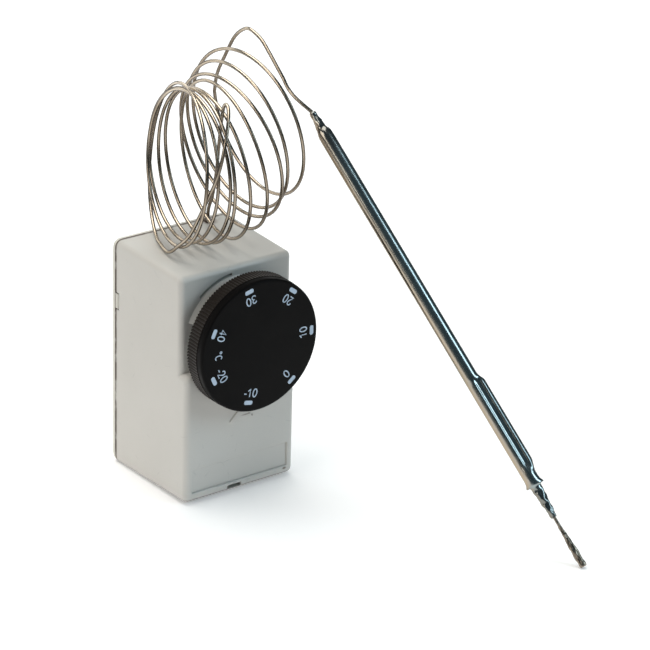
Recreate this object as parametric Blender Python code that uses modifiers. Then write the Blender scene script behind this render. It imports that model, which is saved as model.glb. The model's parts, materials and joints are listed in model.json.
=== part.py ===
# Capillary thermostat: a moulded wall box with a temperature dial, a coiled capillary tube
# on its top and a long sensing bulb that leans out in front of it.
# Metres, +Z up. The dial faces -Y and the wall face of the base plate faces +Y.
# The origin is the middle of the base plate's lower edge, on which the box stands.

import math

import bmesh
import bpy
import numpy as np
from mathutils import Matrix, Vector

# Fits
GAP = 0.0003
RUNNING = 0.00015

# Box
BOX_WIDTH = 0.0590
BOX_HEIGHT = 0.1050
BASE_THICK = 0.0022
SEAM_Y = -BASE_THICK / 2
LOWER_DEPTH = 0.0525
UPPER_DEPTH = 0.0477
LEDGE_HEIGHT = 0.0604
DRAFT_SIDE = 0.021
DRAFT_END = 0.022
WALL = 0.0022
EDGE_ROUND = 0.0026
CORNER_ROUND = 0.0035

# Base plate
RIM_HEIGHT = 0.0065
RIM_WALL = 0.0016
TAB_LOW = 0.0736
TAB_HIGH = 0.0810
TAB_DEPTH = 0.0022
BOSS_HEIGHT = 0.0030
BOSS_RADIUS = 0.0035
WALL_HOLE_RADIUS = 0.0022
WALL_HOLE_X = 0.0215
WALL_HOLE_HEIGHTS = (0.0385, 0.0815)
CABLE_HOLE_WIDTH = 0.0220
CABLE_HOLE_HEIGHT = 0.0160
CABLE_HOLE_Z = 0.0540

# Cover details
INDEX_HALF = 0.0060
INDEX_FOOT = 0.0345
INDEX_RISE = 0.0006
PANEL_HALF = 0.0248
PANEL_LOW = 0.0054
PANEL_HIGH = 0.0165
PANEL_DEEP = 0.0005
PRY_LEFT = -0.0065
PRY_RIGHT = 0.0009
PRY_LOW = 0.0024
PRY_HIGH = 0.0043
RIB_INNER = 0.0254
RIB_OUTER = 0.0266
RIB_HEIGHT = 0.0012
RIB_START = 86.0
RIB_END = 158.0
GROOVE_OUTER = 0.0274
GROOVE_DEEP = 0.0011
GROOVE_START = 95.0
GROOVE_END = 133.0

# Dial knob and spindle
AXIS_Z = 0.0734
KNOB_REAR_Y = -0.0563
KNOB_FRONT_Y = -0.0666
KNOB_REAR_RADIUS = 0.0300
KNOB_BAND_RADIUS = 0.0297
KNOB_FRONT_RADIUS = 0.0288
KNOB_BAND = 0.0066
KNOB_EDGE = 0.0004
KNOB_RIBS = 120
RIB_DEPTH = 0.00045
KNOB_WALL = 0.0022
HUB_RADIUS = 0.0055
SPINDLE_RADIUS = 0.0030
SPINDLE_FLAT = 0.0020
SPINDLE_REAR_Y = -0.0185
SPINDLE_ENGAGE = 0.0120
COLLAR_RADIUS = 0.0045
COLLAR_LENGTH = 0.0018
BUSH_RADIUS = 0.0040
BUSH_FLANGE = 0.0024
BUSH_PROUD = 0.0026
HEX_RADIUS = 0.0070
HEX_THICK = 0.0030
BUSH_SLACK = 0.0010

# Mechanism bracket
SHEET = 0.0015
BRACKET_HALF = 0.0200
BRACKET_WEB_Y = -0.0401
BRACKET_LOW = 0.0200
BRACKET_TOP = 0.0970
BRACKET_FOOT = 0.0090
SCREW_X = 0.0160
MECH_Y = -0.0230

# Cam and follower
CAM_LOW = 0.0055
CAM_RISE = 0.000625
CAM_THICK = 0.0040
KNOB_FORWARD = 65.0
KNOB_BACK = 246.5
FOLLOWER_RADIUS = 0.0025
FOLLOWER_FLANGE_Z = 0.0505
FOLLOWER_FLANGE_RADIUS = 0.0052
FOLLOWER_FLANGE = 0.0015
GUIDE_Z = 0.0580
GUIDE_HALF = 0.0080

# Lever, capsule and switch
LEVER_PIVOT_X = 0.0180
LEVER_Z = 0.0350
LEVER_THICK = 0.0020
LEVER_WIDTH = 0.0080
LEVER_END_X = -0.0190
PIN_RADIUS = 0.0012
CAPSULE_X = 0.0070
CAPSULE_RADIUS = 0.0120
CAPSULE_THICK = 0.0064
CAPSULE_STUD = 0.0030
PUSH_PIN_RADIUS = 0.0025
SWITCH_X = -0.0136
SWITCH_HALF = 0.0060
SWITCH_LENGTH = 0.0160
SWITCH_TALL = 0.0090
PLUNGER_RADIUS = 0.0015
SPRING_RADIUS = 0.0042
SPRING_WIRE = 0.0006
SPRING_TURNS = 5
STRIP_PITCH = 0.0040
STRIP_HALF = 0.0013
STRIP_THICK = 0.0008

# Terminal block and earth terminal
BLOCK_LEFT = -0.0210
BLOCK_RIGHT = -0.0060
BLOCK_LUG_RIGHT = 0.0020
BLOCK_LOW = 0.0055
BLOCK_HIGH = 0.0160
BLOCK_DEPTH = 0.0125
BLOCK_LUG_DEPTH = 0.0040
EARTH_X = 0.0130
EARTH_HALF = 0.0040
EARTH_Z = 0.0100

# Capillary tube
TUBE_RADIUS = 0.0007
TUBE_BORE_RADIUS = TUBE_RADIUS + RUNNING
POINTS_PER_TURN = 22
GROMMET_RADIUS = 0.0019
EXIT_X = 0.0165
EXIT_Y = SEAM_Y - GROMMET_RADIUS - GAP
NOTCH_HALF = GROMMET_RADIUS + GAP

# Guide rings of the hand-wound coil, one every COIL_STEP turns from the bulb's lead:
# centre x, y, z, radius, then the turn of its plane about Z and its lean, in degrees
COIL_STEP = 1.0
COIL_GUIDES = (
    (0.0378, -0.0166, 0.1563, 0.0338, 1.5, -11.7),
    (0.0270, -0.0160, 0.1503, 0.0348, 3.5, -7.5),
    (0.0213, -0.0167, 0.1472, 0.0339, 0.9, -9.3),
    (0.0165, -0.0189, 0.1433, 0.0340, 2.2, -11.4),
    (0.0106, -0.0217, 0.1415, 0.0336, -6.0, -6.9),
    (0.0020, -0.0225, 0.1399, 0.0334, -4.8, -4.4),
    (-0.0035, -0.0229, 0.1410, 0.0329, -7.3, 0.6),
    (-0.0052, -0.0203, 0.1400, 0.0333, -4.6, 0.3),
    (-0.0114, -0.0228, 0.1424, 0.0321, -8.2, 6.5),
    (-0.0116, -0.0211, 0.1413, 0.0351, -17.4, 6.3),
    (-0.0173, -0.0165, 0.1424, 0.0363, -20.1, 6.6),
)
COIL_START = 0.25
COIL_END = 9.48

# Route of the lead from the bulb's neck to the first turn
LEAD_ROUTE = (
    (0.0360, -0.0434, 0.1669),
    (0.0344, -0.0396, 0.1695),
    (0.0337, -0.0360, 0.1722),
    (0.0336, -0.0326, 0.1756),
    (0.0334, -0.0284, 0.1793),
    (0.0334, -0.0232, 0.1835),
    (0.0334, -0.0173, 0.1878),
    (0.0331, -0.0123, 0.1899),
    (0.0329, -0.0073, 0.1904),
    (0.0326, -0.0024, 0.1878),
    (0.0322, 0.0014, 0.1840),
    (0.0321, 0.0048, 0.1789),
    (0.0322, 0.0084, 0.1732),
    (0.0323, 0.0120, 0.1676),
    (0.0329, 0.0152, 0.1619),
)

# Route from the last turn, up over a sharp kink and down to the box
TAIL_ROUTE = (
    (-0.0192, -0.0256, 0.1061),
    (-0.0198, -0.0346, 0.1123),
    (-0.0194, -0.0421, 0.1196),
    (-0.0197, -0.0496, 0.1307),
    (-0.0189, -0.0541, 0.1396),
    (-0.0176, -0.0571, 0.1469),
    (-0.0158, -0.0586, 0.1553),
    (-0.0136, -0.0581, 0.1629),
    (-0.0098, -0.0546, 0.1702),
    (-0.0069, -0.0506, 0.1748),
    (-0.0060, -0.0476, 0.1761),
    (-0.0051, -0.0446, 0.1735),
    (-0.0022, -0.0391, 0.1651),
    (0.0023, -0.0311, 0.1515),
    (0.0083, -0.0211, 0.1358),
    (0.0131, -0.0115, 0.1201),
    (0.0150, -0.0060, 0.1121),
)

# Route inside the box, from the grommet down to the capsule's port
INNER_ROUTE = (
    (0.0174, -0.0033, 0.0994),
    (0.0206, -0.0033, 0.0966),
    (0.0226, -0.0045, 0.0905),
    (0.0229, -0.0090, 0.0750),
    (0.0229, -0.0150, 0.0580),
    (0.0229, -0.0200, 0.0440),
    (0.0230, -0.0228, 0.0340),
    (0.0229, -0.0230, 0.0285),
    (0.0222, -0.0230, 0.0258),
)

# Sensing bulb: lengths are measured along it from its upper shoulder
BULB_TOP = Vector((0.0400, -0.0536, 0.1568))
BULB_AIM = Vector((0.1815, -0.6464, -0.7410)).normalized()
BULB_RADIUS = 0.00325
NECK_RADIUS = 0.0020
NECK_LENGTH = 0.0096
NECK_SHOULDER = 0.0030
BULB_LENGTH = 0.1715
DENT_START = 0.1190
DENT_END = 0.1670
DENT_DEEP = 0.0016
DENT_SPREAD = 0.22
DENT_SHIFT = 0.0007
DENT_PLACE = 0.0017
DENT_HALF = 0.0011
DENT_SIDE = 135.0
END_RIM_WIDE = 0.0041
END_RIM_THIN = 0.0032
END_RIM = 0.0010
CRIMP_LENGTH = 0.0155
CRIMP_RADIUS = 0.0025
CRIMP_END_WIDE = 0.0018
CRIMP_END_THIN = 0.0014
SOCKET_DEPTH = 0.0035
TAIL_THIN = 0.0007
TAIL_WIDE = 0.0016
TAIL_FLAT = 0.0009

ROUND_SIDES = 24
SMALL_SIDES = 12


def start_clean():
    for obj in list(bpy.data.objects):
        bpy.data.objects.remove(obj, do_unlink=True)
    parts = bpy.data.collections.new("capillary_thermostat")
    cutters = bpy.data.collections.new("cutters")
    bpy.context.scene.collection.children.link(parts)
    bpy.context.scene.collection.children.link(cutters)
    cutters.hide_render = True
    return parts, cutters


PARTS, CUTTERS = start_clean()


def finish(name, color, roughness, metallic=0.0):
    """A plain material with the part's own colour."""
    material = bpy.data.materials.new(name)
    material.use_nodes = True
    shader = material.node_tree.nodes["Principled BSDF"]
    shader.inputs["Base Color"].default_value = (*color, 1.0)
    shader.inputs["Roughness"].default_value = roughness
    shader.inputs["Metallic"].default_value = metallic
    return material


def add(name, bm, material=None, location=(0, 0, 0), rotation=None, cutter=False):
    """Makes an object from a bmesh: a part of the thermostat, or a hidden cutter."""
    bmesh.ops.recalc_face_normals(bm, faces=bm.faces)
    mesh = bpy.data.meshes.new(name)
    bm.to_mesh(mesh)
    bm.free()
    obj = bpy.data.objects.new(name, mesh)
    obj.location = location
    if rotation is not None:
        obj.rotation_euler = rotation
    if cutter:
        obj.hide_render = True
        obj.display_type = "WIRE"
        CUTTERS.objects.link(obj)
    else:
        obj.data.materials.append(material)
        PARTS.objects.link(obj)
    return obj


def box_mesh(low, high, round_axis=None, radius=0.0, segments=3):
    """A box between two corners, with the edges along one axis rounded."""
    low, high = Vector(low), Vector(high)
    bm = bmesh.new()
    bmesh.ops.create_cube(bm, size=1.0)
    size = high - low
    bmesh.ops.scale(bm, vec=size, verts=bm.verts)
    bmesh.ops.translate(bm, vec=(low + high) / 2, verts=bm.verts)
    if round_axis is not None:
        edges = [
            edge
            for edge in bm.edges
            if abs((edge.verts[0].co - edge.verts[1].co)[round_axis]) > size[round_axis] / 2
        ]
        bmesh.ops.bevel(bm, geom=edges, offset=radius, segments=segments, affect="EDGES", profile=0.5)
    return bm


def rod_mesh(radius, length, sides=SMALL_SIDES):
    """A rod from z = 0 up to its length, on the local Z axis."""
    bm = bmesh.new()
    bmesh.ops.create_cone(bm, cap_ends=True, segments=sides, radius1=radius, radius2=radius, depth=length)
    bmesh.ops.translate(bm, vec=(0, 0, length / 2), verts=bm.verts)
    return bm


# Turns local +Z to -Y (out of the dial), to +Y, to +X and to -Z
OUT = (math.radians(90), 0, 0)
BACK = (math.radians(-90), 0, 0)
RIGHT = (0, math.radians(90), 0)
DOWN = (math.radians(180), 0, 0)


def turned(name, profile, material, location, rotation=None, sides=ROUND_SIDES):
    """A solid of revolution: the profile is (radius, height) pairs, top to bottom."""
    bm = bmesh.new()
    verts = [bm.verts.new((radius, 0, height)) for radius, height in profile]
    for a, b in zip(verts, verts[1:]):
        bm.edges.new((a, b))
    mesh = bpy.data.meshes.new(name)
    bm.to_mesh(mesh)
    bm.free()
    obj = bpy.data.objects.new(name, mesh)
    obj.location = location
    if rotation is not None:
        obj.rotation_euler = rotation
    obj.data.materials.append(material)
    PARTS.objects.link(obj)
    screw = obj.modifiers.new("turn", "SCREW")
    screw.steps = sides
    screw.render_steps = sides
    screw.use_merge_vertices = True
    screw.merge_threshold = 0.00001
    screw.use_normal_calculate = False
    return obj


def lofted_mesh(rings):
    """Joins rings of equally many points and caps both ends."""
    bm = bmesh.new()
    rows = [[bm.verts.new(point) for point in ring] for ring in rings]
    count = len(rows[0])
    for lower, upper in zip(rows, rows[1:]):
        for i in range(count):
            j = (i + 1) % count
            bm.faces.new((lower[i], lower[j], upper[j], upper[i]))
    bm.faces.new(rows[0])
    bm.faces.new(rows[-1])
    return bm


def prism_mesh(outline, thickness):
    """An outline in local XY, extruded up local Z from z = 0."""
    bm = bmesh.new()
    face = bm.faces.new([bm.verts.new((x, y, 0)) for x, y in outline])
    extruded = bmesh.ops.extrude_face_region(bm, geom=[face])
    lifted = [item for item in extruded["geom"] if isinstance(item, bmesh.types.BMVert)]
    bmesh.ops.translate(bm, vec=(0, 0, thickness), verts=lifted)
    return bm


def arc_outline(inner, outer, start, end, steps):
    """A sector of a ring, angles in degrees from +X."""
    angles = [math.radians(start + (end - start) * i / steps) for i in range(steps + 1)]
    outside = [(outer * math.cos(a), outer * math.sin(a)) for a in angles]
    inside = [(inner * math.cos(a), inner * math.sin(a)) for a in reversed(angles)]
    return outside + inside


def circle(radius, sides):
    step = 2 * math.pi / sides
    return [(radius * math.cos(i * step), radius * math.sin(i * step)) for i in range(sides)]


def hexagon(radius):
    return circle(radius, 6)


def boolean(obj, other, operation="DIFFERENCE"):
    modifier = obj.modifiers.new(other.name, "BOOLEAN")
    modifier.operation = operation
    modifier.object = other
    modifier.solver = "EXACT"
    return modifier


def cut_box(obj, name, low, high, round_axis=None, radius=0.0):
    return boolean(obj, add(name, box_mesh(low, high, round_axis, radius), cutter=True))


def cut_rod(obj, name, radius, length, location, rotation=None, sides=SMALL_SIDES):
    return boolean(obj, add(name, rod_mesh(radius, length, sides), None, location, rotation, cutter=True))


def join(obj, name, bm, location=(0, 0, 0), rotation=None):
    return boolean(obj, add(name, bm, None, location, rotation, cutter=True), "UNION")


def smooth(obj, angle=35.0):
    obj.data.shade_smooth()
    obj.data.set_sharp_from_angle(angle=math.radians(angle))


# Box cover

def half_width(y, inset=0.0):
    return BOX_WIDTH / 2 - inset - DRAFT_SIDE * (SEAM_Y - y)


def bottom_z(y, inset=0.0):
    return inset + DRAFT_END * (SEAM_Y - y)


def top_z(y, inset=0.0):
    return BOX_HEIGHT - inset - DRAFT_END * (SEAM_Y - y)


def cover_block(inset, back_y, rounding):
    """The cover's drafted outline, stepped at the ledge, shrunk by the inset on every side."""
    low_y = SEAM_Y - LOWER_DEPTH + inset
    high_y = SEAM_Y - UPPER_DEPTH + inset
    ledge = LEDGE_HEIGHT - inset
    side = [
        (back_y, bottom_z(back_y, inset)),
        (low_y, bottom_z(low_y, inset)),
        (low_y, ledge),
        (high_y, ledge),
        (high_y, top_z(high_y, inset)),
        (back_y, top_z(back_y, inset)),
    ]
    bm = bmesh.new()
    face = bm.faces.new([bm.verts.new((-1.0, y, z)) for y, z in side])
    extruded = bmesh.ops.extrude_face_region(bm, geom=[face])
    for item in extruded["geom"]:
        if isinstance(item, bmesh.types.BMVert):
            item.co.x = 1.0
    for vert in bm.verts:
        vert.co.x *= half_width(vert.co.y, inset)
    bmesh.ops.recalc_face_normals(bm, faces=bm.faces)
    if rounding:
        def is_kept(edge):
            a, b = edge.verts
            at_back = abs(a.co.y - back_y) < 1e-6 and abs(b.co.y - back_y) < 1e-6
            inner_corner = all(
                abs(v.co.y - high_y) < 1e-6 and abs(v.co.z - ledge) < 1e-6 for v in (a, b)
            )
            return at_back or inner_corner

        edges = [edge for edge in bm.edges if not is_kept(edge)]
        bmesh.ops.bevel(bm, geom=edges, offset=rounding, segments=3, affect="EDGES", profile=0.5)
    return bm


def make_cover():
    ivory = finish("moulded_housing", (0.55, 0.54, 0.51), 0.45)
    cover = add("cover", cover_block(0.0, SEAM_Y, EDGE_ROUND), ivory)
    hollow = add("cover_hollow", cover_block(WALL, SEAM_Y + 0.002, 0.0), cutter=True)
    recess_y = SEAM_Y - UPPER_DEPTH
    face_y = SEAM_Y - LOWER_DEPTH
    boolean(cover, hollow)
    # Raised arc beside the dial, and the groove outside it
    rib = arc_outline(RIB_INNER, RIB_OUTER, RIB_START, RIB_END, 18)
    join(cover, "arc_rib", prism_mesh(rib, RIB_HEIGHT + GAP), (0, recess_y + GAP, AXIS_Z), OUT)
    groove = arc_outline(RIB_OUTER, GROOVE_OUTER, GROOVE_START, GROOVE_END, 10)
    groove_tool = add("arc_groove", prism_mesh(groove, GROOVE_DEEP + 0.001), None,
                      (0, recess_y + GROOVE_DEEP, AXIS_Z), OUT, cutter=True)
    boolean(cover, groove_tool)
    # Raised index pointer below the dial
    pointer = [(-INDEX_HALF, 0), (INDEX_HALF, 0), (0, INDEX_HALF)]
    join(cover, "index_pointer", prism_mesh(pointer, INDEX_RISE + GAP), (0, face_y + GAP, INDEX_FOOT), OUT)
    # Sunken bare panel and the pry slot under it
    cut_box(cover, "panel_recess", (-PANEL_HALF, face_y - 0.001, PANEL_LOW),
            (PANEL_HALF, face_y + PANEL_DEEP, PANEL_HIGH), 1, 0.001)
    cut_box(cover, "pry_slot", (PRY_LEFT, face_y - 0.001, PRY_LOW), (PRY_RIGHT, face_y + WALL / 2, PRY_HIGH))
    # Spindle bush hole, tab notches in the side walls and the capillary's notch in the top
    cut_rod(cover, "bush_hole", BUSH_RADIUS + BUSH_SLACK, 3 * WALL,
            (0, recess_y + 2 * WALL, AXIS_Z), OUT, ROUND_SIDES)
    for side, label in ((-1, "left"), (1, "right")):
        inner, outer = BOX_WIDTH / 2 - 2 * WALL, BOX_WIDTH / 2 + WALL
        cut_box(cover, "tab_notch_" + label,
                (min(side * inner, side * outer), SEAM_Y - TAB_DEPTH, TAB_LOW),
                (max(side * inner, side * outer), SEAM_Y + 0.002, TAB_HIGH))
    cut_box(cover, "capillary_notch", (EXIT_X - NOTCH_HALF, EXIT_Y - NOTCH_HALF, BOX_HEIGHT - 2 * WALL),
            (EXIT_X + NOTCH_HALF, SEAM_Y + 0.002, BOX_HEIGHT + WALL))
    smooth(cover)
    return cover


# Base plate

def rim_box(inset, length):
    low = (-BOX_WIDTH / 2 + inset, SEAM_Y - length, inset)
    high = (BOX_WIDTH / 2 - inset, SEAM_Y + GAP, BOX_HEIGHT - inset)
    return low, high


def boss_places():
    """Where bosses stand on the base plate: x, z."""
    foot = BRACKET_FOOT / 2 + SHEET / 2
    places = [(side * SCREW_X, z) for side in (-1, 1) for z in (BRACKET_LOW + foot, BRACKET_TOP - foot)]
    places.append(((BLOCK_RIGHT + BLOCK_LUG_RIGHT) / 2, (BLOCK_LOW + BLOCK_HIGH) / 2))
    places.append((EARTH_X, EARTH_Z))
    return places


BOSS_FACE_Y = SEAM_Y - BOSS_HEIGHT
SCREW_RADIUS = 0.0015


def make_base_plate():
    grey = finish("moulded_base", (0.50, 0.49, 0.46), 0.5)
    plate = add(
        "base_plate",
        box_mesh((-BOX_WIDTH / 2, SEAM_Y + GAP, 0), (BOX_WIDTH / 2, SEAM_Y + BASE_THICK, BOX_HEIGHT),
                 1, CORNER_ROUND, 4),
        grey,
    )
    outer = WALL + DRAFT_SIDE * RIM_HEIGHT + GAP
    # Spigot rim that the cover slides over, with the capillary's notch
    join(plate, "rim_outside", box_mesh(*rim_box(outer, RIM_HEIGHT)))
    low, high = rim_box(outer + RIM_WALL, RIM_HEIGHT + 0.001)
    cut_box(plate, "rim_inside", low, (high[0], SEAM_Y, high[2]))
    cut_box(plate, "rim_notch", (EXIT_X - NOTCH_HALF, SEAM_Y - RIM_HEIGHT - 0.001, BOX_HEIGHT - 4 * WALL),
            (EXIT_X + NOTCH_HALF, SEAM_Y, BOX_HEIGHT + WALL))
    # Snap tabs that show in the cover's side walls
    for side, label in ((-1, "left"), (1, "right")):
        inner, outer_x = BOX_WIDTH / 2 - outer - RIM_WALL, half_width(SEAM_Y - TAB_DEPTH)
        join(plate, "snap_tab_" + label,
             box_mesh((min(side * inner, side * outer_x), SEAM_Y - TAB_DEPTH + GAP, TAB_LOW + GAP),
                      (max(side * inner, side * outer_x), SEAM_Y + BASE_THICK / 2, TAB_HIGH - GAP)))
    for number, (x, z) in enumerate(boss_places()):
        join(plate, "boss_%d" % number, rod_mesh(BOSS_RADIUS, BOSS_HEIGHT + GAP), (x, SEAM_Y + GAP, z), OUT)
    for number, (x, z) in enumerate(boss_places()):
        cut_rod(plate, "boss_bore_%d" % number, SCREW_RADIUS + GAP, BOSS_HEIGHT,
                (x, SEAM_Y, z), OUT)
    # Wall screws and cable entry
    for side in (-1, 1):
        for z in WALL_HOLE_HEIGHTS:
            cut_rod(plate, "wall_hole_%d_%d" % (side, round(z * 1000)), WALL_HOLE_RADIUS, 3 * BASE_THICK,
                    (side * WALL_HOLE_X, SEAM_Y + 2 * BASE_THICK, z), OUT)
    cut_box(plate, "cable_hole",
            (-CABLE_HOLE_WIDTH / 2, SEAM_Y - 0.001, CABLE_HOLE_Z - CABLE_HOLE_HEIGHT / 2),
            (CABLE_HOLE_WIDTH / 2, SEAM_Y + 2 * BASE_THICK, CABLE_HOLE_Z + CABLE_HOLE_HEIGHT / 2), 1, 0.003)
    smooth(plate)
    return plate


# Dial knob

def knob_ring(y, radius, depth):
    """One ring of the knob: peaks at the radius and valleys lower by the depth."""
    points = []
    for i in range(2 * KNOB_RIBS):
        angle = math.pi * i / KNOB_RIBS
        r = radius - (depth if i % 2 else 0.0)
        points.append((r * math.cos(angle), r * math.sin(angle), -y))
    return points


def make_knob():
    black = finish("dial_black", (0.012, 0.012, 0.013), 0.4)
    band_y = KNOB_REAR_Y - KNOB_BAND
    rings = [
        knob_ring(KNOB_REAR_Y, KNOB_REAR_RADIUS, RIB_DEPTH),
        knob_ring(band_y, KNOB_BAND_RADIUS, RIB_DEPTH),
        knob_ring(band_y, KNOB_BAND_RADIUS - RIB_DEPTH, 0.0),
        knob_ring(KNOB_FRONT_Y + KNOB_EDGE, KNOB_FRONT_RADIUS, 0.0),
        knob_ring(KNOB_FRONT_Y, KNOB_FRONT_RADIUS - KNOB_EDGE, 0.0),
    ]
    knob = add("dial_knob", lofted_mesh(rings), black, (0, 0, AXIS_Z), OUT)
    inside_y = KNOB_FRONT_Y + KNOB_WALL
    hollow = arc_ring_mesh(HUB_RADIUS, KNOB_REAR_RADIUS - KNOB_WALL, KNOB_REAR_Y + 0.001, inside_y)
    boolean(knob, add("knob_hollow", hollow, None, (0, 0, AXIS_Z), OUT, cutter=True))
    hub_rear = HUB_REAR_Y
    join(knob, "knob_hub", rod_mesh(HUB_RADIUS, hub_rear - inside_y + GAP, ROUND_SIDES),
         (0, hub_rear, AXIS_Z), OUT)
    bore = d_outline(SPINDLE_RADIUS + RUNNING, SPINDLE_FLAT + RUNNING)
    boolean(knob, add("knob_bore", prism_mesh(bore, hub_rear - SPINDLE_FRONT_Y + GAP + 0.001), None,
                      (0, hub_rear + 0.001, AXIS_Z), OUT, cutter=True))
    smooth(knob, 25)
    return knob


def arc_ring_mesh(inner, outer, y_from, y_to, sides=48):
    """A closed ring between two depths, for local +Z pointing to -Y."""
    bm = bmesh.new()
    rows = []
    for radius, y in ((inner, y_from), (outer, y_from), (outer, y_to), (inner, y_to)):
        rows.append([bm.verts.new((u, v, -y)) for u, v in circle(radius, sides)])
    for row, following in zip(rows, rows[1:] + rows[:1]):
        for i in range(sides):
            j = (i + 1) % sides
            bm.faces.new((row[i], row[j], following[j], following[i]))
    return bm


def d_outline(radius, flat, sides=ROUND_SIDES):
    """A round outline with a flat across its upper side."""
    return [(u, min(flat, v)) for u, v in circle(radius, sides)]


# Places along the knob axis, from the wall outwards
COLLAR_Y = MECH_Y - CAM_THICK / 2 - GAP
BUSH_REAR_Y = BRACKET_WEB_Y + GAP + BUSH_FLANGE
BUSH_FRONT_Y = SEAM_Y - UPPER_DEPTH - BUSH_PROUD
HUB_REAR_Y = BUSH_FRONT_Y - GAP
SPINDLE_FRONT_Y = HUB_REAR_Y - SPINDLE_ENGAGE


def make_spindle():
    steel = finish("turned_steel", (0.55, 0.55, 0.56), 0.3, 1.0)
    brass = finish("bush_brass", (0.72, 0.56, 0.28), 0.35, 1.0)
    # Heights below are distances in front of the rear end
    collar = SPINDLE_REAR_Y - COLLAR_Y
    length = SPINDLE_REAR_Y - SPINDLE_FRONT_Y
    spindle = turned("spindle", [
        (0, length), (SPINDLE_RADIUS - 0.0003, length), (SPINDLE_RADIUS, length - 0.0003),
        (SPINDLE_RADIUS, collar + COLLAR_LENGTH), (COLLAR_RADIUS, collar + COLLAR_LENGTH),
        (COLLAR_RADIUS, collar), (SPINDLE_RADIUS, collar), (SPINDLE_RADIUS, 0.0003),
        (SPINDLE_RADIUS - 0.0003, 0), (0, 0),
    ], steel, (0, SPINDLE_REAR_Y, AXIS_Z), OUT)
    flat = SPINDLE_ENGAGE + GAP
    cut_box(spindle, "spindle_flat", (-0.005, SPINDLE_FRONT_Y - 0.001, AXIS_Z + SPINDLE_FLAT),
            (0.005, SPINDLE_FRONT_Y + flat, AXIS_Z + 0.005))
    smooth(spindle)
    body = BUSH_REAR_Y - BUSH_FRONT_Y
    bush = turned("spindle_bush", [
        (SPINDLE_RADIUS + RUNNING, body), (BUSH_RADIUS - 0.0004, body), (BUSH_RADIUS, body - 0.0004),
        (BUSH_RADIUS, BUSH_FLANGE), (HEX_RADIUS, BUSH_FLANGE), (HEX_RADIUS, 0),
        (SPINDLE_RADIUS + RUNNING, 0), (SPINDLE_RADIUS + RUNNING, body),
    ], brass, (0, BUSH_REAR_Y, AXIS_Z), OUT)
    smooth(bush)
    nut_y = BRACKET_WEB_Y - SHEET - GAP
    nut = add("bush_nut", prism_mesh(hexagon(HEX_RADIUS), HEX_THICK), brass, (0, nut_y, AXIS_Z), OUT)
    cut_rod(nut, "bush_nut_bore", BUSH_RADIUS + GAP, 3 * HEX_THICK,
            (0, nut_y + HEX_THICK, AXIS_Z), OUT, ROUND_SIDES)
    ring_y = MECH_Y + CAM_THICK / 2 + GAP
    ring = arc_outline(SPINDLE_RADIUS + RUNNING, SPINDLE_RADIUS + 0.0013, -60, 240, 16)
    clip = add("spindle_clip", prism_mesh(ring, 0.0008), steel, (0, ring_y + 0.0008, AXIS_Z), OUT)
    return spindle, bush, nut, clip


# Range cam: its radius grows evenly as it turns, so the follower sinks in step with the knob

def cam_radius(angle):
    """Radius at an angle in degrees, measured from +X towards +Z, as seen from the dial."""
    start = 270.0 - KNOB_FORWARD - 6.0
    travel = KNOB_FORWARD + KNOB_BACK + 12.0
    turn = (angle - start) % 360.0
    if turn <= travel:
        return CAM_LOW + CAM_RISE * math.radians(turn - 6.0)
    high = CAM_LOW + CAM_RISE * math.radians(travel - 6.0)
    low = CAM_LOW - CAM_RISE * math.radians(6.0)
    share = (turn - travel) / (360.0 - travel)
    return high + (low - high) * share


def make_cam():
    nylon = finish("cam_nylon", (0.75, 0.73, 0.66), 0.4)
    outline = []
    for i in range(72):
        angle = 5.0 * i
        radius = cam_radius(angle)
        outline.append((radius * math.cos(math.radians(angle)), radius * math.sin(math.radians(angle))))
    cam_y = MECH_Y + CAM_THICK / 2
    cam = add("range_cam", prism_mesh(outline, CAM_THICK), nylon, (0, cam_y, AXIS_Z), OUT)
    cut_rod(cam, "cam_bore", SPINDLE_RADIUS + RUNNING, 3 * CAM_THICK, (0, cam_y + CAM_THICK, AXIS_Z), OUT,
            ROUND_SIDES)
    return cam


FOLLOWER_TOP = AXIS_Z - cam_radius(270.0) - GAP


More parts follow.
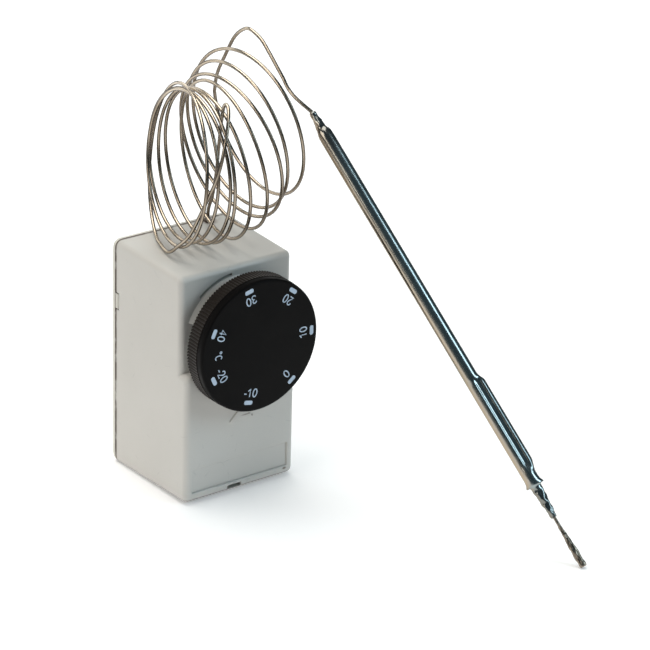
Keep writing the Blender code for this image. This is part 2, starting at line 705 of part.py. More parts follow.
def make_follower():
    brass = finish("follower_brass", (0.70, 0.55, 0.28), 0.35, 1.0)
    zinc = finish("guide_zinc", (0.60, 0.61, 0.62), 0.35, 1.0)
    tall = FOLLOWER_TOP - FOLLOWER_FLANGE_Z
    dome = []
    for angle in (0, 20, 40, 60, 80):
        sink = FOLLOWER_RADIUS * (1 - math.cos(math.radians(angle)))
        dome.append((FOLLOWER_RADIUS * math.sin(math.radians(angle)), tall - sink))
    follower = turned("range_follower", dome + [
        (FOLLOWER_RADIUS, FOLLOWER_FLANGE), (FOLLOWER_FLANGE_RADIUS, FOLLOWER_FLANGE),
        (FOLLOWER_FLANGE_RADIUS, 0), (0.0030, 0), (0.0030, -0.0020), (0, -0.0020),
    ], brass, (0, MECH_Y, FOLLOWER_FLANGE_Z), sides=16)
    smooth(follower)
    rear = BRACKET_WEB_Y + GAP
    shelf = box_mesh((-GUIDE_HALF, rear, GUIDE_Z), (GUIDE_HALF, MECH_Y + 0.006, GUIDE_Z + SHEET))
    guide = add("follower_guide", shelf, zinc)
    join(guide, "guide_flange",
         box_mesh((-GUIDE_HALF, rear, GUIDE_Z - 0.0095), (GUIDE_HALF, rear + SHEET, GUIDE_Z + GAP)))
    cut_rod(guide, "guide_bore", FOLLOWER_RADIUS + RUNNING, 3 * SHEET, (0, MECH_Y, GUIDE_Z - SHEET), None, 16)
    rivet_z = GUIDE_Z - 0.0052
    cut_rod(guide, "guide_rivet_bore", SCREW_RADIUS + GAP, 3 * SHEET, (0, rear - SHEET, rivet_z), BACK)
    front = BRACKET_WEB_Y - SHEET - GAP
    back = rear + SHEET + GAP
    rivet = turned("guide_rivet", [
        (0, back - front + 0.0010), (0.0022, back - front + 0.0010), (0.0027, back - front),
        (SCREW_RADIUS, back - front), (SCREW_RADIUS, 0), (0.0027, 0), (0.0022, -0.0010), (0, -0.0010),
    ], zinc, (0, back, rivet_z), OUT, SMALL_SIDES)
    return follower, guide, rivet, rivet_z


# Sheet bracket that carries the mechanism

def make_bracket(rivet_z):
    zinc = finish("bracket_zinc", (0.62, 0.63, 0.64), 0.35, 1.0)
    foot_y = BOSS_FACE_Y - GAP
    half = SHEET / 2
    path = [
        (foot_y - half, BRACKET_LOW + BRACKET_FOOT),
        (foot_y - half, BRACKET_LOW),
        (BRACKET_WEB_Y - half, BRACKET_LOW),
        (BRACKET_WEB_Y - half, BRACKET_TOP),
        (foot_y - half, BRACKET_TOP),
        (foot_y - half, BRACKET_TOP - BRACKET_FOOT),
    ]
    bm = bmesh.new()
    rows = [[bm.verts.new((x, y, z)) for y, z in path] for x in (-BRACKET_HALF, BRACKET_HALF)]
    for i in range(len(path) - 1):
        bm.faces.new((rows[0][i], rows[0][i + 1], rows[1][i + 1], rows[1][i]))
    bends = [edge for edge in bm.edges if len(edge.link_faces) == 2]
    bmesh.ops.bevel(bm, geom=bends, offset=0.0018, segments=3, affect="EDGES", profile=0.5)
    bracket = add("mechanism_bracket", bm, zinc)
    solid = bracket.modifiers.new("sheet", "SOLIDIFY")
    solid.thickness = SHEET
    solid.offset = 0.0
    cut_rod(bracket, "web_hole", BUSH_RADIUS + GAP, 3 * SHEET,
            (0, BRACKET_WEB_Y + SHEET, AXIS_Z), OUT, ROUND_SIDES)
    cut_rod(bracket, "rivet_hole", SCREW_RADIUS + GAP, 3 * SHEET, (0, BRACKET_WEB_Y + SHEET, rivet_z), OUT)
    cut_rod(bracket, "pin_hole", PIN_RADIUS + GAP, 3 * SHEET,
            (LEVER_PIVOT_X, BRACKET_WEB_Y + SHEET, LEVER_Z), OUT)
    cut_rod(bracket, "stud_hole", CAPSULE_STUD + GAP, 3 * SHEET,
            (CAPSULE_X, MECH_Y, BRACKET_LOW - 1.5 * SHEET))
    for number, (x, z) in enumerate(boss_places()[:4]):
        cut_rod(bracket, "foot_hole_%d" % number, SCREW_RADIUS + GAP, 3 * SHEET, (x, foot_y + SHEET, z), OUT)
    cut_box(bracket, "strip_window", (SWITCH_X - SWITCH_HALF, STRIP_DROP_Y - 0.0015, BRACKET_LOW - SHEET),
            (SWITCH_X + SWITCH_HALF, STRIP_DROP_Y + 0.0015, BRACKET_LOW + SHEET))
    return bracket


def make_screw(name, x, seat_y, z, shank, material):
    """A pan-head screw driven towards the wall, its head on the seat."""
    screw = turned(name, [
        (0, 0.0018), (0.0017, 0.0018), (0.0025, 0.0011), (0.0027, 0.0), (SCREW_RADIUS, 0.0),
        (SCREW_RADIUS, -shank + 0.0004), (SCREW_RADIUS - 0.0004, -shank), (0, -shank),
    ], material, (x, seat_y - GAP, z), OUT, SMALL_SIDES)
    cut_box(screw, name + "_slot", (x - 0.0004, seat_y - GAP - 0.0030, z - 0.004),
            (x + 0.0004, seat_y - GAP - 0.0010, z + 0.004))
    return screw


def make_fixings():
    zinc = finish("screw_zinc", (0.66, 0.66, 0.66), 0.3, 1.0)
    screws = []
    foot_front = BOSS_FACE_Y - GAP - SHEET
    for number, (x, z) in enumerate(boss_places()[:4]):
        screws.append(make_screw("bracket_screw_%d" % (number + 1), x, foot_front, z, 0.0040, zinc))
    x, z = boss_places()[4]
    screws.append(make_screw("block_screw", x, BOSS_FACE_Y - GAP - BLOCK_LUG_DEPTH, z, 0.0065, zinc))
    x, z = boss_places()[5]
    screws.append(make_screw("earth_screw", x, BOSS_FACE_Y - GAP - 2 * EARTH_HALF, z, 0.0105, zinc))
    return screws


# Lever, its pin, the diaphragm capsule and its push pin

LEVER_BOTTOM = LEVER_Z - LEVER_THICK / 2
LEG_TOP = BRACKET_LOW + SHEET / 2


def make_lever():
    steel = finish("lever_steel", (0.58, 0.58, 0.59), 0.3, 1.0)
    half = LEVER_WIDTH / 2
    low = (LEVER_END_X, MECH_Y - half, LEVER_BOTTOM)
    high = (LEVER_PIVOT_X, MECH_Y + half, LEVER_BOTTOM + LEVER_THICK)
    lever = add("rocker_lever", box_mesh(low, high, 2, 0.0015), steel)
    barrel = PIN_RADIUS + 0.0014
    join(lever, "lever_barrel", rod_mesh(barrel, LEVER_WIDTH, 24),
         (LEVER_PIVOT_X, MECH_Y + half, LEVER_Z), OUT)
    cut_rod(lever, "lever_bore", PIN_RADIUS + RUNNING, 3 * LEVER_WIDTH,
            (LEVER_PIVOT_X, MECH_Y + LEVER_WIDTH, LEVER_Z), OUT, 24)
    # Pressed seat for the range spring
    seat = add("spring_seat", rod_mesh(0.0030, 0.0012, 24), None, (0, MECH_Y, LEVER_Z), None, cutter=True)
    boolean(lever, seat, "UNION")
    front = BRACKET_WEB_Y - SHEET - GAP
    rear = MECH_Y + half + 0.0018
    pin = turned("lever_pin", [
        (0, rear - front + 0.0012), (0.0022, rear - front + 0.0012), (0.0022, rear - front),
        (PIN_RADIUS, rear - front), (PIN_RADIUS, 0), (0, 0),
    ], steel, (LEVER_PIVOT_X, rear, LEVER_Z), OUT, 24)
    return lever, pin


def make_capsule():
    stainless = finish("capsule_stainless", (0.62, 0.61, 0.58), 0.25, 1.0)
    ceramic = finish("push_pin_ceramic", (0.85, 0.84, 0.80), 0.3)
    base = LEG_TOP + GAP
    middle = CAPSULE_THICK / 2
    # Two shallow pressed discs with rings, welded at a thin rim, on a stud
    waves = []
    rings = 7
    for i in range(rings + 1):
        radius = 0.0015 + (CAPSULE_RADIUS - 0.0030) * i / rings
        waves.append((radius, CAPSULE_THICK - 0.0004 + 0.0004 * math.cos(math.pi * i) - 0.0012 * i / rings))
    weld = [(CAPSULE_RADIUS - 0.0008, middle + 0.0008), (CAPSULE_RADIUS, middle + 0.0006),
            (CAPSULE_RADIUS, middle - 0.0006), (CAPSULE_RADIUS - 0.0008, middle - 0.0008)]
    lower = [(CAPSULE_RADIUS - 0.0030, 0.0), (CAPSULE_STUD, 0.0),
             (CAPSULE_STUD, -SHEET - 0.0055), (0, -SHEET - 0.0055)]
    profile = [(0, CAPSULE_THICK)] + waves + weld + lower
    capsule = turned("diaphragm_capsule", profile, stainless, (CAPSULE_X, MECH_Y, base))
    port_z = base + middle
    join(capsule, "capsule_port", rod_mesh(0.0014, 0.0030),
         (CAPSULE_X + CAPSULE_RADIUS - 0.0012, MECH_Y, port_z), RIGHT)
    cut_rod(capsule, "port_bore", TUBE_BORE_RADIUS, 0.0030,
            (CAPSULE_X + CAPSULE_RADIUS - 0.0004, MECH_Y, port_z), RIGHT)
    smooth(capsule)
    nut = add("capsule_nut", prism_mesh(hexagon(0.0055), 0.0030), stainless,
              (CAPSULE_X, MECH_Y, BRACKET_LOW - SHEET / 2 - GAP), DOWN)
    cut_rod(nut, "capsule_nut_bore", CAPSULE_STUD + GAP, 0.012, (CAPSULE_X, MECH_Y, BRACKET_LOW - 0.008))
    pin_low = base + CAPSULE_THICK + GAP
    pin_high = LEVER_BOTTOM - GAP
    push_pin = turned("push_pin", [
        (0, pin_high - pin_low), (PUSH_PIN_RADIUS - 0.0005, pin_high - pin_low),
        (PUSH_PIN_RADIUS, pin_high - pin_low - 0.0005), (PUSH_PIN_RADIUS, 0.0), (0, 0.0),
    ], ceramic, (CAPSULE_X, MECH_Y, pin_low), sides=SMALL_SIDES)
    return capsule, nut, push_pin, port_z


# Range spring between the follower's flange and the lever

def make_spring():
    spring_steel = finish("spring_steel", (0.50, 0.50, 0.52), 0.3, 1.0)
    low = LEVER_Z + LEVER_THICK / 2 + GAP + SPRING_WIRE
    high = FOLLOWER_FLANGE_Z - GAP - SPRING_WIRE
    points = []
    steps = 12
    turns = SPRING_TURNS + 2
    for i in range(turns * steps + 1):
        turn = i / steps
        # The end turns lie flat, a wire apart
        rise = min(turn, 1.0) * 2.2 * SPRING_WIRE
        rise += min(max(turn - 1.0, 0.0), SPRING_TURNS) * (high - low - 4.4 * SPRING_WIRE) / SPRING_TURNS
        rise += max(turn - turns + 1.0, 0.0) * 2.2 * SPRING_WIRE
        angle = 2 * math.pi * turn
        points.append((SPRING_RADIUS * math.cos(angle), MECH_Y + SPRING_RADIUS * math.sin(angle), low + rise))
    return wire("range_spring", points, SPRING_WIRE, spring_steel, 1)


def wire(name, points, radius, material, resolution=2):
    """A round wire along points, with closed ends."""
    curve = bpy.data.curves.new(name, "CURVE")
    curve.dimensions = "3D"
    curve.bevel_depth = radius
    curve.bevel_resolution = resolution
    curve.use_fill_caps = True
    spline = curve.splines.new("POLY")
    spline.points.add(len(points) - 1)
    for target, point in zip(spline.points, points):
        target.co = (*point, 1.0)
    obj = bpy.data.objects.new(name, curve)
    obj.data.materials.append(material)
    PARTS.objects.link(obj)
    return obj


# Snap switch, its plunger and the three contact strips that run down to the terminal block

STRIP_DROP_Y = MECH_Y + SWITCH_LENGTH / 2 + 0.0035


def make_switch():
    phenolic = finish("switch_phenolic", (0.05, 0.045, 0.04), 0.45)
    red = finish("plunger_red", (0.45, 0.04, 0.03), 0.4)
    low = LEG_TOP + GAP
    high = low + SWITCH_TALL
    half = SWITCH_LENGTH / 2
    body = add("switch_body", box_mesh((SWITCH_X - SWITCH_HALF, MECH_Y - half, low),
                                       (SWITCH_X + SWITCH_HALF, MECH_Y + half, high), 2, 0.0006, 2), phenolic)
    cut_rod(body, "plunger_bore", PLUNGER_RADIUS + RUNNING, 0.0040, (SWITCH_X, MECH_Y, high - 0.0030))
    plunger_low = high - 0.0022
    plunger_high = LEVER_BOTTOM - GAP
    plunger = turned("switch_plunger", [
        (0, plunger_high - plunger_low), (PLUNGER_RADIUS - 0.0005, plunger_high - plunger_low),
        (PLUNGER_RADIUS, plunger_high - plunger_low - 0.0005), (PLUNGER_RADIUS, 0), (0, 0),
    ], red, (SWITCH_X, MECH_Y, plunger_low), sides=SMALL_SIDES)
    return body, plunger


def make_contacts():
    brass = finish("contact_brass", (0.72, 0.57, 0.30), 0.35, 1.0)
    zinc = finish("terminal_screw_zinc", (0.66, 0.66, 0.66), 0.3, 1.0)
    start_y = MECH_Y + SWITCH_LENGTH / 2 + GAP
    half = STRIP_THICK / 2
    strip_z = LEG_TOP + 0.0045
    land_z = BLOCK_HIGH + GAP + half
    end_y = STRIP_DROP_Y - 0.0048
    path = [(start_y, strip_z), (STRIP_DROP_Y, strip_z), (STRIP_DROP_Y, land_z), (end_y, land_z)]
    made = []
    for i, name in enumerate(("contact_opening", "contact_common", "contact_closing")):
        x = SWITCH_X + (i - 1) * STRIP_PITCH
        bm = bmesh.new()
        rows = [[bm.verts.new((x + side * STRIP_HALF, y, z)) for y, z in path] for side in (-1, 1)]
        for k in range(len(path) - 1):
            bm.faces.new((rows[0][k], rows[0][k + 1], rows[1][k + 1], rows[1][k]))
        bends = [edge for edge in bm.edges if len(edge.link_faces) == 2]
        bmesh.ops.bevel(bm, geom=bends, offset=0.0009, segments=2, affect="EDGES", profile=0.5)
        strip = add(name, bm, brass)
        solid = strip.modifiers.new("sheet", "SOLIDIFY")
        solid.thickness = STRIP_THICK
        solid.offset = 0.0
        hole_y = (end_y + STRIP_DROP_Y) / 2 - 0.0008
        cut_rod(strip, name + "_hole", 0.0008 + RUNNING, 0.0040, (x, hole_y, land_z - 0.002), None, 12)
        screw = turned(name.replace("contact", "terminal_screw"), [
            (0, 0.0012), (0.0011, 0.0012), (0.0015, 0.0006), (0.0015, 0), (0.0008, 0),
            (0.0008, -0.0050), (0, -0.0050),
        ], zinc, (x, hole_y, land_z + half + GAP), sides=12)
        made += [strip, screw]
    return made, hole_y


def make_terminal_block(hole_y):
    polyamide = finish("terminal_block_grey", (0.35, 0.35, 0.35), 0.5)
    brass = finish("earth_brass", (0.72, 0.57, 0.30), 0.35, 1.0)
    rear = BOSS_FACE_Y - GAP
    block = add("terminal_block", box_mesh((BLOCK_LEFT, rear - BLOCK_DEPTH, BLOCK_LOW),
                                           (BLOCK_RIGHT, rear, BLOCK_HIGH), 0, 0.0008, 2), polyamide)
    join(block, "block_lug", box_mesh((BLOCK_RIGHT - GAP, rear - BLOCK_LUG_DEPTH, BLOCK_LOW + 0.0015),
                                      (BLOCK_LUG_RIGHT, rear, BLOCK_HIGH - 0.0015)))
    x, z = boss_places()[4]
    cut_rod(block, "block_lug_hole", SCREW_RADIUS + GAP, 0.010, (x, rear + 0.002, z), OUT)
    for i in range(3):
        x = SWITCH_X + (i - 1) * STRIP_PITCH
        cut_rod(block, "terminal_bore_%d" % i, 0.0008 + GAP, 0.0060, (x, hole_y, BLOCK_HIGH - 0.0050))
        cut_rod(block, "wire_entry_%d" % i, 0.0014, 0.0060,
                (x, rear - BLOCK_DEPTH - 0.001, BLOCK_LOW + 0.0035), BACK)
    x, z = boss_places()[5]
    earth = add("earth_terminal", box_mesh((x - EARTH_HALF, rear - 2 * EARTH_HALF, z - EARTH_HALF),
                                           (x + EARTH_HALF, rear, z + EARTH_HALF), 1, 0.0008, 2), brass)
    cut_rod(earth, "earth_bore", SCREW_RADIUS + GAP, 0.014, (x, rear + 0.002, z), OUT)
    return block, earth


# Capillary tube, from the bulb's neck through the coil to the capsule

def smooth_points(points, shares):
    """Points of a Catmull-Rom curve through the given rows, at shares counted in rows."""
    rows = np.array(points, dtype=float)
    rows = np.vstack([2 * rows[0] - rows[1], rows, 2 * rows[-1] - rows[-2]])
    found = []
    for share in shares:
        i = min(int(share), len(points) - 2)
        t = share - i
        a, b, c, d = rows[i : i + 4]
        found.append(0.5 * (2 * b + (c - a) * t + (2 * a - 5 * b + 4 * c - d) * t * t
                            + (3 * b - a - 3 * c + d) * t ** 3))
    return found


def coil_point(turn):
    """The coil's point after this many turns: 0 is the top, then back, down, front."""
    x, y, z, radius, yaw, lean = map(float, smooth_points(COIL_GUIDES, [turn / COIL_STEP])[0])
    yaw, lean = math.radians(yaw), math.radians(lean)
    across = Vector((-math.sin(yaw), math.cos(yaw), 0))
    upward = Vector((math.cos(yaw) * math.sin(lean), math.sin(yaw) * math.sin(lean), math.cos(lean)))
    angle = 2 * math.pi * turn
    return Vector((x, y, z)) + radius * (math.sin(angle) * across + math.cos(angle) * upward)


def route_points(points, per_step):
    """A list of route points made smooth, with this many points for each step between them."""
    count = (len(points) - 1) * per_step
    return [Vector(p) for p in smooth_points(points, [i / per_step for i in range(count + 1)])]


def capillary_points(port_z):
    neck_end = BULB_TOP - BULB_AIM * NECK_LENGTH
    socket = neck_end + BULB_AIM * (SOCKET_DEPTH - GAP)
    first = coil_point(COIL_START)
    lead = route_points([socket, neck_end, *LEAD_ROUTE, first], 2)
    steps = round((COIL_END - COIL_START) * POINTS_PER_TURN)
    coil = [coil_point(COIL_START + (COIL_END - COIL_START) * i / steps) for i in range(1, steps)]
    port_x = CAPSULE_X + CAPSULE_RADIUS + 0.0018
    grommet = [(EXIT_X, EXIT_Y, BOX_HEIGHT + 0.0010), (EXIT_X, EXIT_Y, BOX_HEIGHT - 0.0042)]
    end = [(port_x, MECH_Y, port_z), (port_x - 0.0018, MECH_Y, port_z)]
    tail = route_points([coil_point(COIL_END), *TAIL_ROUTE, *grommet, *INNER_ROUTE, *end], 2)
    return lead + coil + tail


def make_capillary(port_z):
    copper = finish("capillary_copper", (0.42, 0.33, 0.25), 0.35, 1.0)
    rubber = finish("grommet_rubber", (0.10, 0.07, 0.05), 0.7)
    tube = wire("capillary_tube", capillary_points(port_z), TUBE_RADIUS, copper)
    tall = WALL + 0.0026
    grommet = turned("capillary_grommet", [
        (TUBE_BORE_RADIUS, tall), (GROMMET_RADIUS - 0.0004, tall), (GROMMET_RADIUS, tall - 0.0004),
        (GROMMET_RADIUS, 0), (TUBE_BORE_RADIUS, 0), (TUBE_BORE_RADIUS, tall),
    ], rubber, (EXIT_X, EXIT_Y, BOX_HEIGHT + 0.0004 - tall), sides=16)
    return tube, grommet


# Sensing bulb

def bulb_matrix(at):
    """Local +Z runs down the bulb, local X is level."""
    level = Vector((0, 0, 1)).cross(BULB_AIM).normalized()
    other = BULB_AIM.cross(level)
    turn = Matrix((level, other, BULB_AIM)).transposed().to_4x4()
    return Matrix.Translation(at) @ turn


def bulb_ring(s, radius, dent=0.0, sides=24):
    """One ring of the bulb. A dent spreads it to one side and presses a groove into its front."""
    side = math.radians(DENT_SIDE)
    across = Vector((-math.sin(side), math.cos(side)))
    facing = Vector((math.cos(side), math.sin(side)))
    points = []
    for i in range(sides):
        angle = 2 * math.pi * i / sides
        unit = Vector((math.cos(angle), math.sin(angle)))
        u, v = unit.dot(across), unit.dot(facing)
        u = u * radius * (1 + DENT_SPREAD * dent) - DENT_SHIFT * dent
        v *= radius * (1 - 0.5 * DENT_SPREAD * dent)
        if v > 0:
            v -= DENT_DEEP * dent * math.exp(-(((u + DENT_PLACE) / DENT_HALF) ** 2))
        point = across * u + facing * v
        points.append((point.x, point.y, s))
    return points


def dent_share(s):
    """How deep the dent is here, from 0 at its ends to 1."""
    ramp = 0.0045
    rise = min(1.0, max(0.0, (s - DENT_START) / ramp))
    fall = min(1.0, max(0.0, (DENT_END - s) / ramp))
    share = min(rise, fall)
    return share * share * (3 - 2 * share)


def flat_ring(s, wide, thin, sides=24):
    """A flattened ring, wide across the side that the dent faces."""
    side = math.radians(DENT_SIDE)
    across = Vector((-math.sin(side), math.cos(side)))
    facing = Vector((math.cos(side), math.sin(side)))
    points = []
    for i in range(sides):
        unit = Vector((math.cos(2 * math.pi * i / sides), math.sin(2 * math.pi * i / sides)))
        point = across * (unit.dot(across) * wide) + facing * (unit.dot(facing) * thin)
        points.append((point.x, point.y, s))
    return points


def make_bulb():
    steel = finish("bulb_metal", (0.30, 0.31, 0.31), 0.15, 1.0)
    copper = finish("tail_copper", (0.30, 0.19, 0.12), 0.35, 1.0)
    rings = [
        bulb_ring(-NECK_LENGTH, NECK_RADIUS - 0.0004),
        bulb_ring(-NECK_LENGTH + 0.0006, NECK_RADIUS),
        bulb_ring(-NECK_SHOULDER, NECK_RADIUS + 0.0001),
        bulb_ring(-0.0012, BULB_RADIUS - 0.0006),
        bulb_ring(0.0, BULB_RADIUS - 0.0001),
        bulb_ring(0.0012, BULB_RADIUS),
    ]
    steps = 14
    for i in range(steps + 1):
        s = DENT_START + (DENT_END - DENT_START) * (0.5 - 0.5 * math.cos(math.pi * i / steps))
        rings.append(bulb_ring(s, BULB_RADIUS, dent_share(s)))
    rings += [
        bulb_ring(BULB_LENGTH - 2 * END_RIM, BULB_RADIUS),
        flat_ring(BULB_LENGTH - END_RIM, END_RIM_WIDE, END_RIM_THIN),
        flat_ring(BULB_LENGTH, END_RIM_WIDE, END_RIM_THIN),
        flat_ring(BULB_LENGTH + END_RIM / 2, CRIMP_RADIUS + 0.0003, CRIMP_RADIUS),
        flat_ring(BULB_LENGTH + CRIMP_LENGTH * 0.6, CRIMP_RADIUS * 0.85, CRIMP_RADIUS * 0.7),
        flat_ring(BULB_LENGTH + CRIMP_LENGTH - 0.0008, CRIMP_END_WIDE, CRIMP_END_THIN),
        flat_ring(BULB_LENGTH + CRIMP_LENGTH, CRIMP_END_WIDE - 0.0003, CRIMP_END_THIN - 0.0002),
    ]
    bulb = add("sensing_bulb", lofted_mesh(rings), steel)
    bulb.matrix_world = bulb_matrix(BULB_TOP)
    neck_end = BULB_TOP - BULB_AIM * NECK_LENGTH
    socket = add("neck_socket", rod_mesh(TUBE_BORE_RADIUS, SOCKET_DEPTH + 0.001, 12), cutter=True)
    socket.matrix_world = bulb_matrix(neck_end - BULB_AIM * 0.001)
    boolean(bulb, socket)
    crimp_end = BULB_LENGTH + CRIMP_LENGTH
    tail_socket = add("tail_socket", rod_mesh(TAIL_THIN + GAP, 0.004, 12), cutter=True)
    tail_socket.matrix_world = bulb_matrix(BULB_TOP + BULB_AIM * (crimp_end - 0.003))
    boolean(bulb, tail_socket)
    smooth(bulb)
    # The tail reaches down until the lower edge of its pinched end stands on the surface
    drop = math.sqrt(1 - BULB_AIM.z ** 2) * TAIL_END_REACH
    reach = (BULB_TOP.z - drop) / -BULB_AIM.z
    start = crimp_end - 0.0025
    tail_rings = [
        flat_ring(start, TAIL_THIN, TAIL_THIN, 16),
        flat_ring(crimp_end + 0.0030, TAIL_THIN, TAIL_THIN, 16),
        flat_ring(crimp_end + 0.40 * (reach - crimp_end), 0.65 * TAIL_WIDE, TAIL_FLAT, 16),
        flat_ring(reach - 0.0045, TAIL_WIDE, TAIL_FLAT, 16),
        flat_ring(reach - 0.0026, 0.85 * TAIL_WIDE, TAIL_FLAT, 16),
        flat_ring(reach - 0.0012, TAIL_WIDE, TAIL_WIDE * 0.8, 16),
        flat_ring(reach, TAIL_WIDE * 0.75, TAIL_WIDE * 0.6, 16),
    ]
    tail = add("fill_tail", lofted_mesh(tail_rings), copper)
    tail.matrix_world = bulb_matrix(BULB_TOP)
    smooth(tail)
    return bulb, tail


# How far the tail's end face reaches below its own axis, across the axis
TAIL_END_REACH = TAIL_WIDE * 0.75


def main():
    make_cover()
    make_base_plate()
    rivet_z = make_follower()[3]
    make_bracket(rivet_z)
    make_fixings()
    turning = [make_knob(), *make_spindle()[:1], make_cam()]
    make_lever()
    port_z = make_capsule()[3]
    make_spring()
    make_switch()
    _, hole_y = make_contacts()
    make_terminal_block(hole_y)
    make_capillary(port_z)
    make_bulb()
    # The pieces that turn with the dial hang on an empty on its axis
    axis = bpy.data.objects.new("dial_axis", None)
    axis.location = (0, 0, AXIS_Z)
    PARTS.objects.link(axis)
    bpy.context.view_layer.update()
    for piece in turning:
        piece.parent = axis
        piece.matrix_parent_inverse = axis.matrix_world.inverted()
    bpy.context.view_layer.update()


main()
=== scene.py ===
# %% [markdown]
# A capillary thermostat. A plastic box holds the switch, a ribbed dial sets the temperature, and
# a thin metal tube, wound by hand into a coil, leads to a long sensing bulb. The construction
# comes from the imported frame. This script adds the looks: smooth shells over the plain solids,
# the printed dial, the wire and the polished bulb, and a finish for every surface.

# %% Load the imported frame
import json
import math

import bmesh
import bpy
from mathutils import Matrix, Vector
from mathutils.kdtree import KDTree


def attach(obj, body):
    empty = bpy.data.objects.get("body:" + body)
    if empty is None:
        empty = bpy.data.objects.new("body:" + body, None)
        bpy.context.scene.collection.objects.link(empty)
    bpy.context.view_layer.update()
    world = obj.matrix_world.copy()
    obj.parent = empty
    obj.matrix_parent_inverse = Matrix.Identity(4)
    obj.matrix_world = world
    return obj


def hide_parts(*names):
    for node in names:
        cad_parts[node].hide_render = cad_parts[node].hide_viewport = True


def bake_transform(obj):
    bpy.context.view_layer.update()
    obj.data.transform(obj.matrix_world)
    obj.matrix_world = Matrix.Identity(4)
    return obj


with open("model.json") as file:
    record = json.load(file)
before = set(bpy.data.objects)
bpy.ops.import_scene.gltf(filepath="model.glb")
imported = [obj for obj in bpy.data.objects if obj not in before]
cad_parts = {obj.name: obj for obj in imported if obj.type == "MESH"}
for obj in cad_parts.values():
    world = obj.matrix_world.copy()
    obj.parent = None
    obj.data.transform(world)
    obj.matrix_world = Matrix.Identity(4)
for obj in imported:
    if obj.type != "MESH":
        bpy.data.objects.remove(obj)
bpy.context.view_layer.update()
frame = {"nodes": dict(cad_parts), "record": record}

MM = 0.001
print("nodes in the frame:", len(frame["nodes"]))

# %% [markdown]
# The camera stands to the left of the dial and above it, as in the photograph. Its place was
# found from the box's corners and the dial's rim. A long lens from over a metre away keeps the
# box's edges nearly parallel, as they are there.

# %% Camera
PHOTO_SIDE, FOCAL_PIXELS, SENSOR = 650, 3038.0, 36.0
VIEW_TURN, VIEW_RISE, VIEW_ROLL = (math.radians(angle) for angle in (-37.293, 24.058, 1.742))
LOOK_AT = Vector((0, -21.1, 50)) * MM
SHIFT_RIGHT, SHIFT_UP, STAND_OFF = 54.885 * MM, 14.635 * MM, 1314.812 * MM


def add_camera():
    flat = Vector((math.cos(VIEW_TURN), math.sin(VIEW_TURN), 0))
    back = Vector((math.sin(VIEW_TURN) * math.cos(VIEW_RISE),
                   -math.cos(VIEW_TURN) * math.cos(VIEW_RISE), math.sin(VIEW_RISE)))
    lifted = back.cross(flat)
    right = math.cos(VIEW_ROLL) * flat + math.sin(VIEW_ROLL) * lifted
    up = -math.sin(VIEW_ROLL) * flat + math.cos(VIEW_ROLL) * lifted
    bpy.ops.object.camera_add()
    camera = bpy.context.object
    camera.name = "photo_camera"
    camera.matrix_world = Matrix((right, up, back)).transposed().to_4x4()
    camera.location = LOOK_AT + right * SHIFT_RIGHT + up * SHIFT_UP + back * STAND_OFF
    camera.data.sensor_width = camera.data.sensor_height = SENSOR
    camera.data.lens = FOCAL_PIXELS * SENSOR / PHOTO_SIDE
    camera.data.clip_end = 20.0
    bpy.context.scene.camera = camera
    return camera


photo_camera = add_camera()
print("camera stands at", [round(v, 3) for v in photo_camera.location])

# %% [markdown]
# Small helpers for shader nodes. The first two feed an input and add a node with its options.
# The others build on them: arithmetic, noise of a given size, a value spread over 0 to 1, a
# place on the piece or its surface, and a mix of two colours.

# %% Node helpers
def feed(tree, socket, value):
    """Links an input to another node's output, or sets it to a number, a vector or a colour."""
    if isinstance(value, bpy.types.NodeSocket):
        tree.links.new(value, socket)
    elif isinstance(value, tuple) and len(value) < len(socket.default_value):
        socket.default_value = (*value, 1)
    else:
        socket.default_value = value


def add_node(tree, kind, inputs=None, **options):
    node = tree.nodes.new("ShaderNode" + kind)
    for name, value in options.items():
        setattr(node, name, value)
    for key, value in (inputs or {}).items():
        feed(tree, node.inputs[key], value)
    return node


def math_node(tree, operation, first, second=0.0, clamp=False):
    inputs = {0: first, 1: second}
    return add_node(tree, "Math", inputs, operation=operation, use_clamp=clamp).outputs[0]


def times(tree, first, second, clamp=False):
    return math_node(tree, "MULTIPLY", first, second, clamp)


def vector_node(tree, operation, *inputs):
    """Vector arithmetic. A product, a length or a distance comes out as a number."""
    node = add_node(tree, "VectorMath", dict(enumerate(inputs)), operation=operation)
    is_number = operation in ("DOT_PRODUCT", "LENGTH", "DISTANCE")
    return node.outputs["Value" if is_number else "Vector"]


def object_place(tree):
    return add_node(tree, "TexCoord").outputs["Object"]


def surface(tree, name):
    return add_node(tree, "NewGeometry").outputs[name]


def axis_of(tree, vector, axis):
    return add_node(tree, "SeparateXYZ", {0: vector}).outputs[axis]


def noise_node(tree, size, detail=3.0, roughness=0.55):
    """Noise with features of about this size; the size may be a socket."""
    inputs = {"Vector": object_place(tree), "Scale": math_node(tree, "DIVIDE", 1.0, size),
              "Detail": detail, "Roughness": roughness}
    return add_node(tree, "TexNoise", inputs).outputs["Fac"]


def spread(tree, value, low, high):
    """Maps a range of the value onto 0 to 1."""
    inputs = {"Value": value, "From Min": low, "From Max": high}
    return add_node(tree, "MapRange", inputs).outputs["Result"]


def along_axis(tree, axis, low, high):
    """A mask that goes from 0 to 1 between two places along one axis of the piece."""
    return spread(tree, axis_of(tree, object_place(tree), axis), low, high)


def mix_colors(tree, share, first, second):
    inputs = {"Factor": share, 6: first, 7: second}
    return add_node(tree, "Mix", inputs, data_type="RGBA").outputs[2]


print("node helpers are ready")

# %% [markdown]
# Shared effects. Moulded plastic, drawn wire and turned metal all need a little unevenness in
# colour and gloss, and a fine relief. Each effect is a node group with named inputs, built once
# and used in each material with its own values. The groups read Object coordinates, so that a
# pattern stays on its piece.

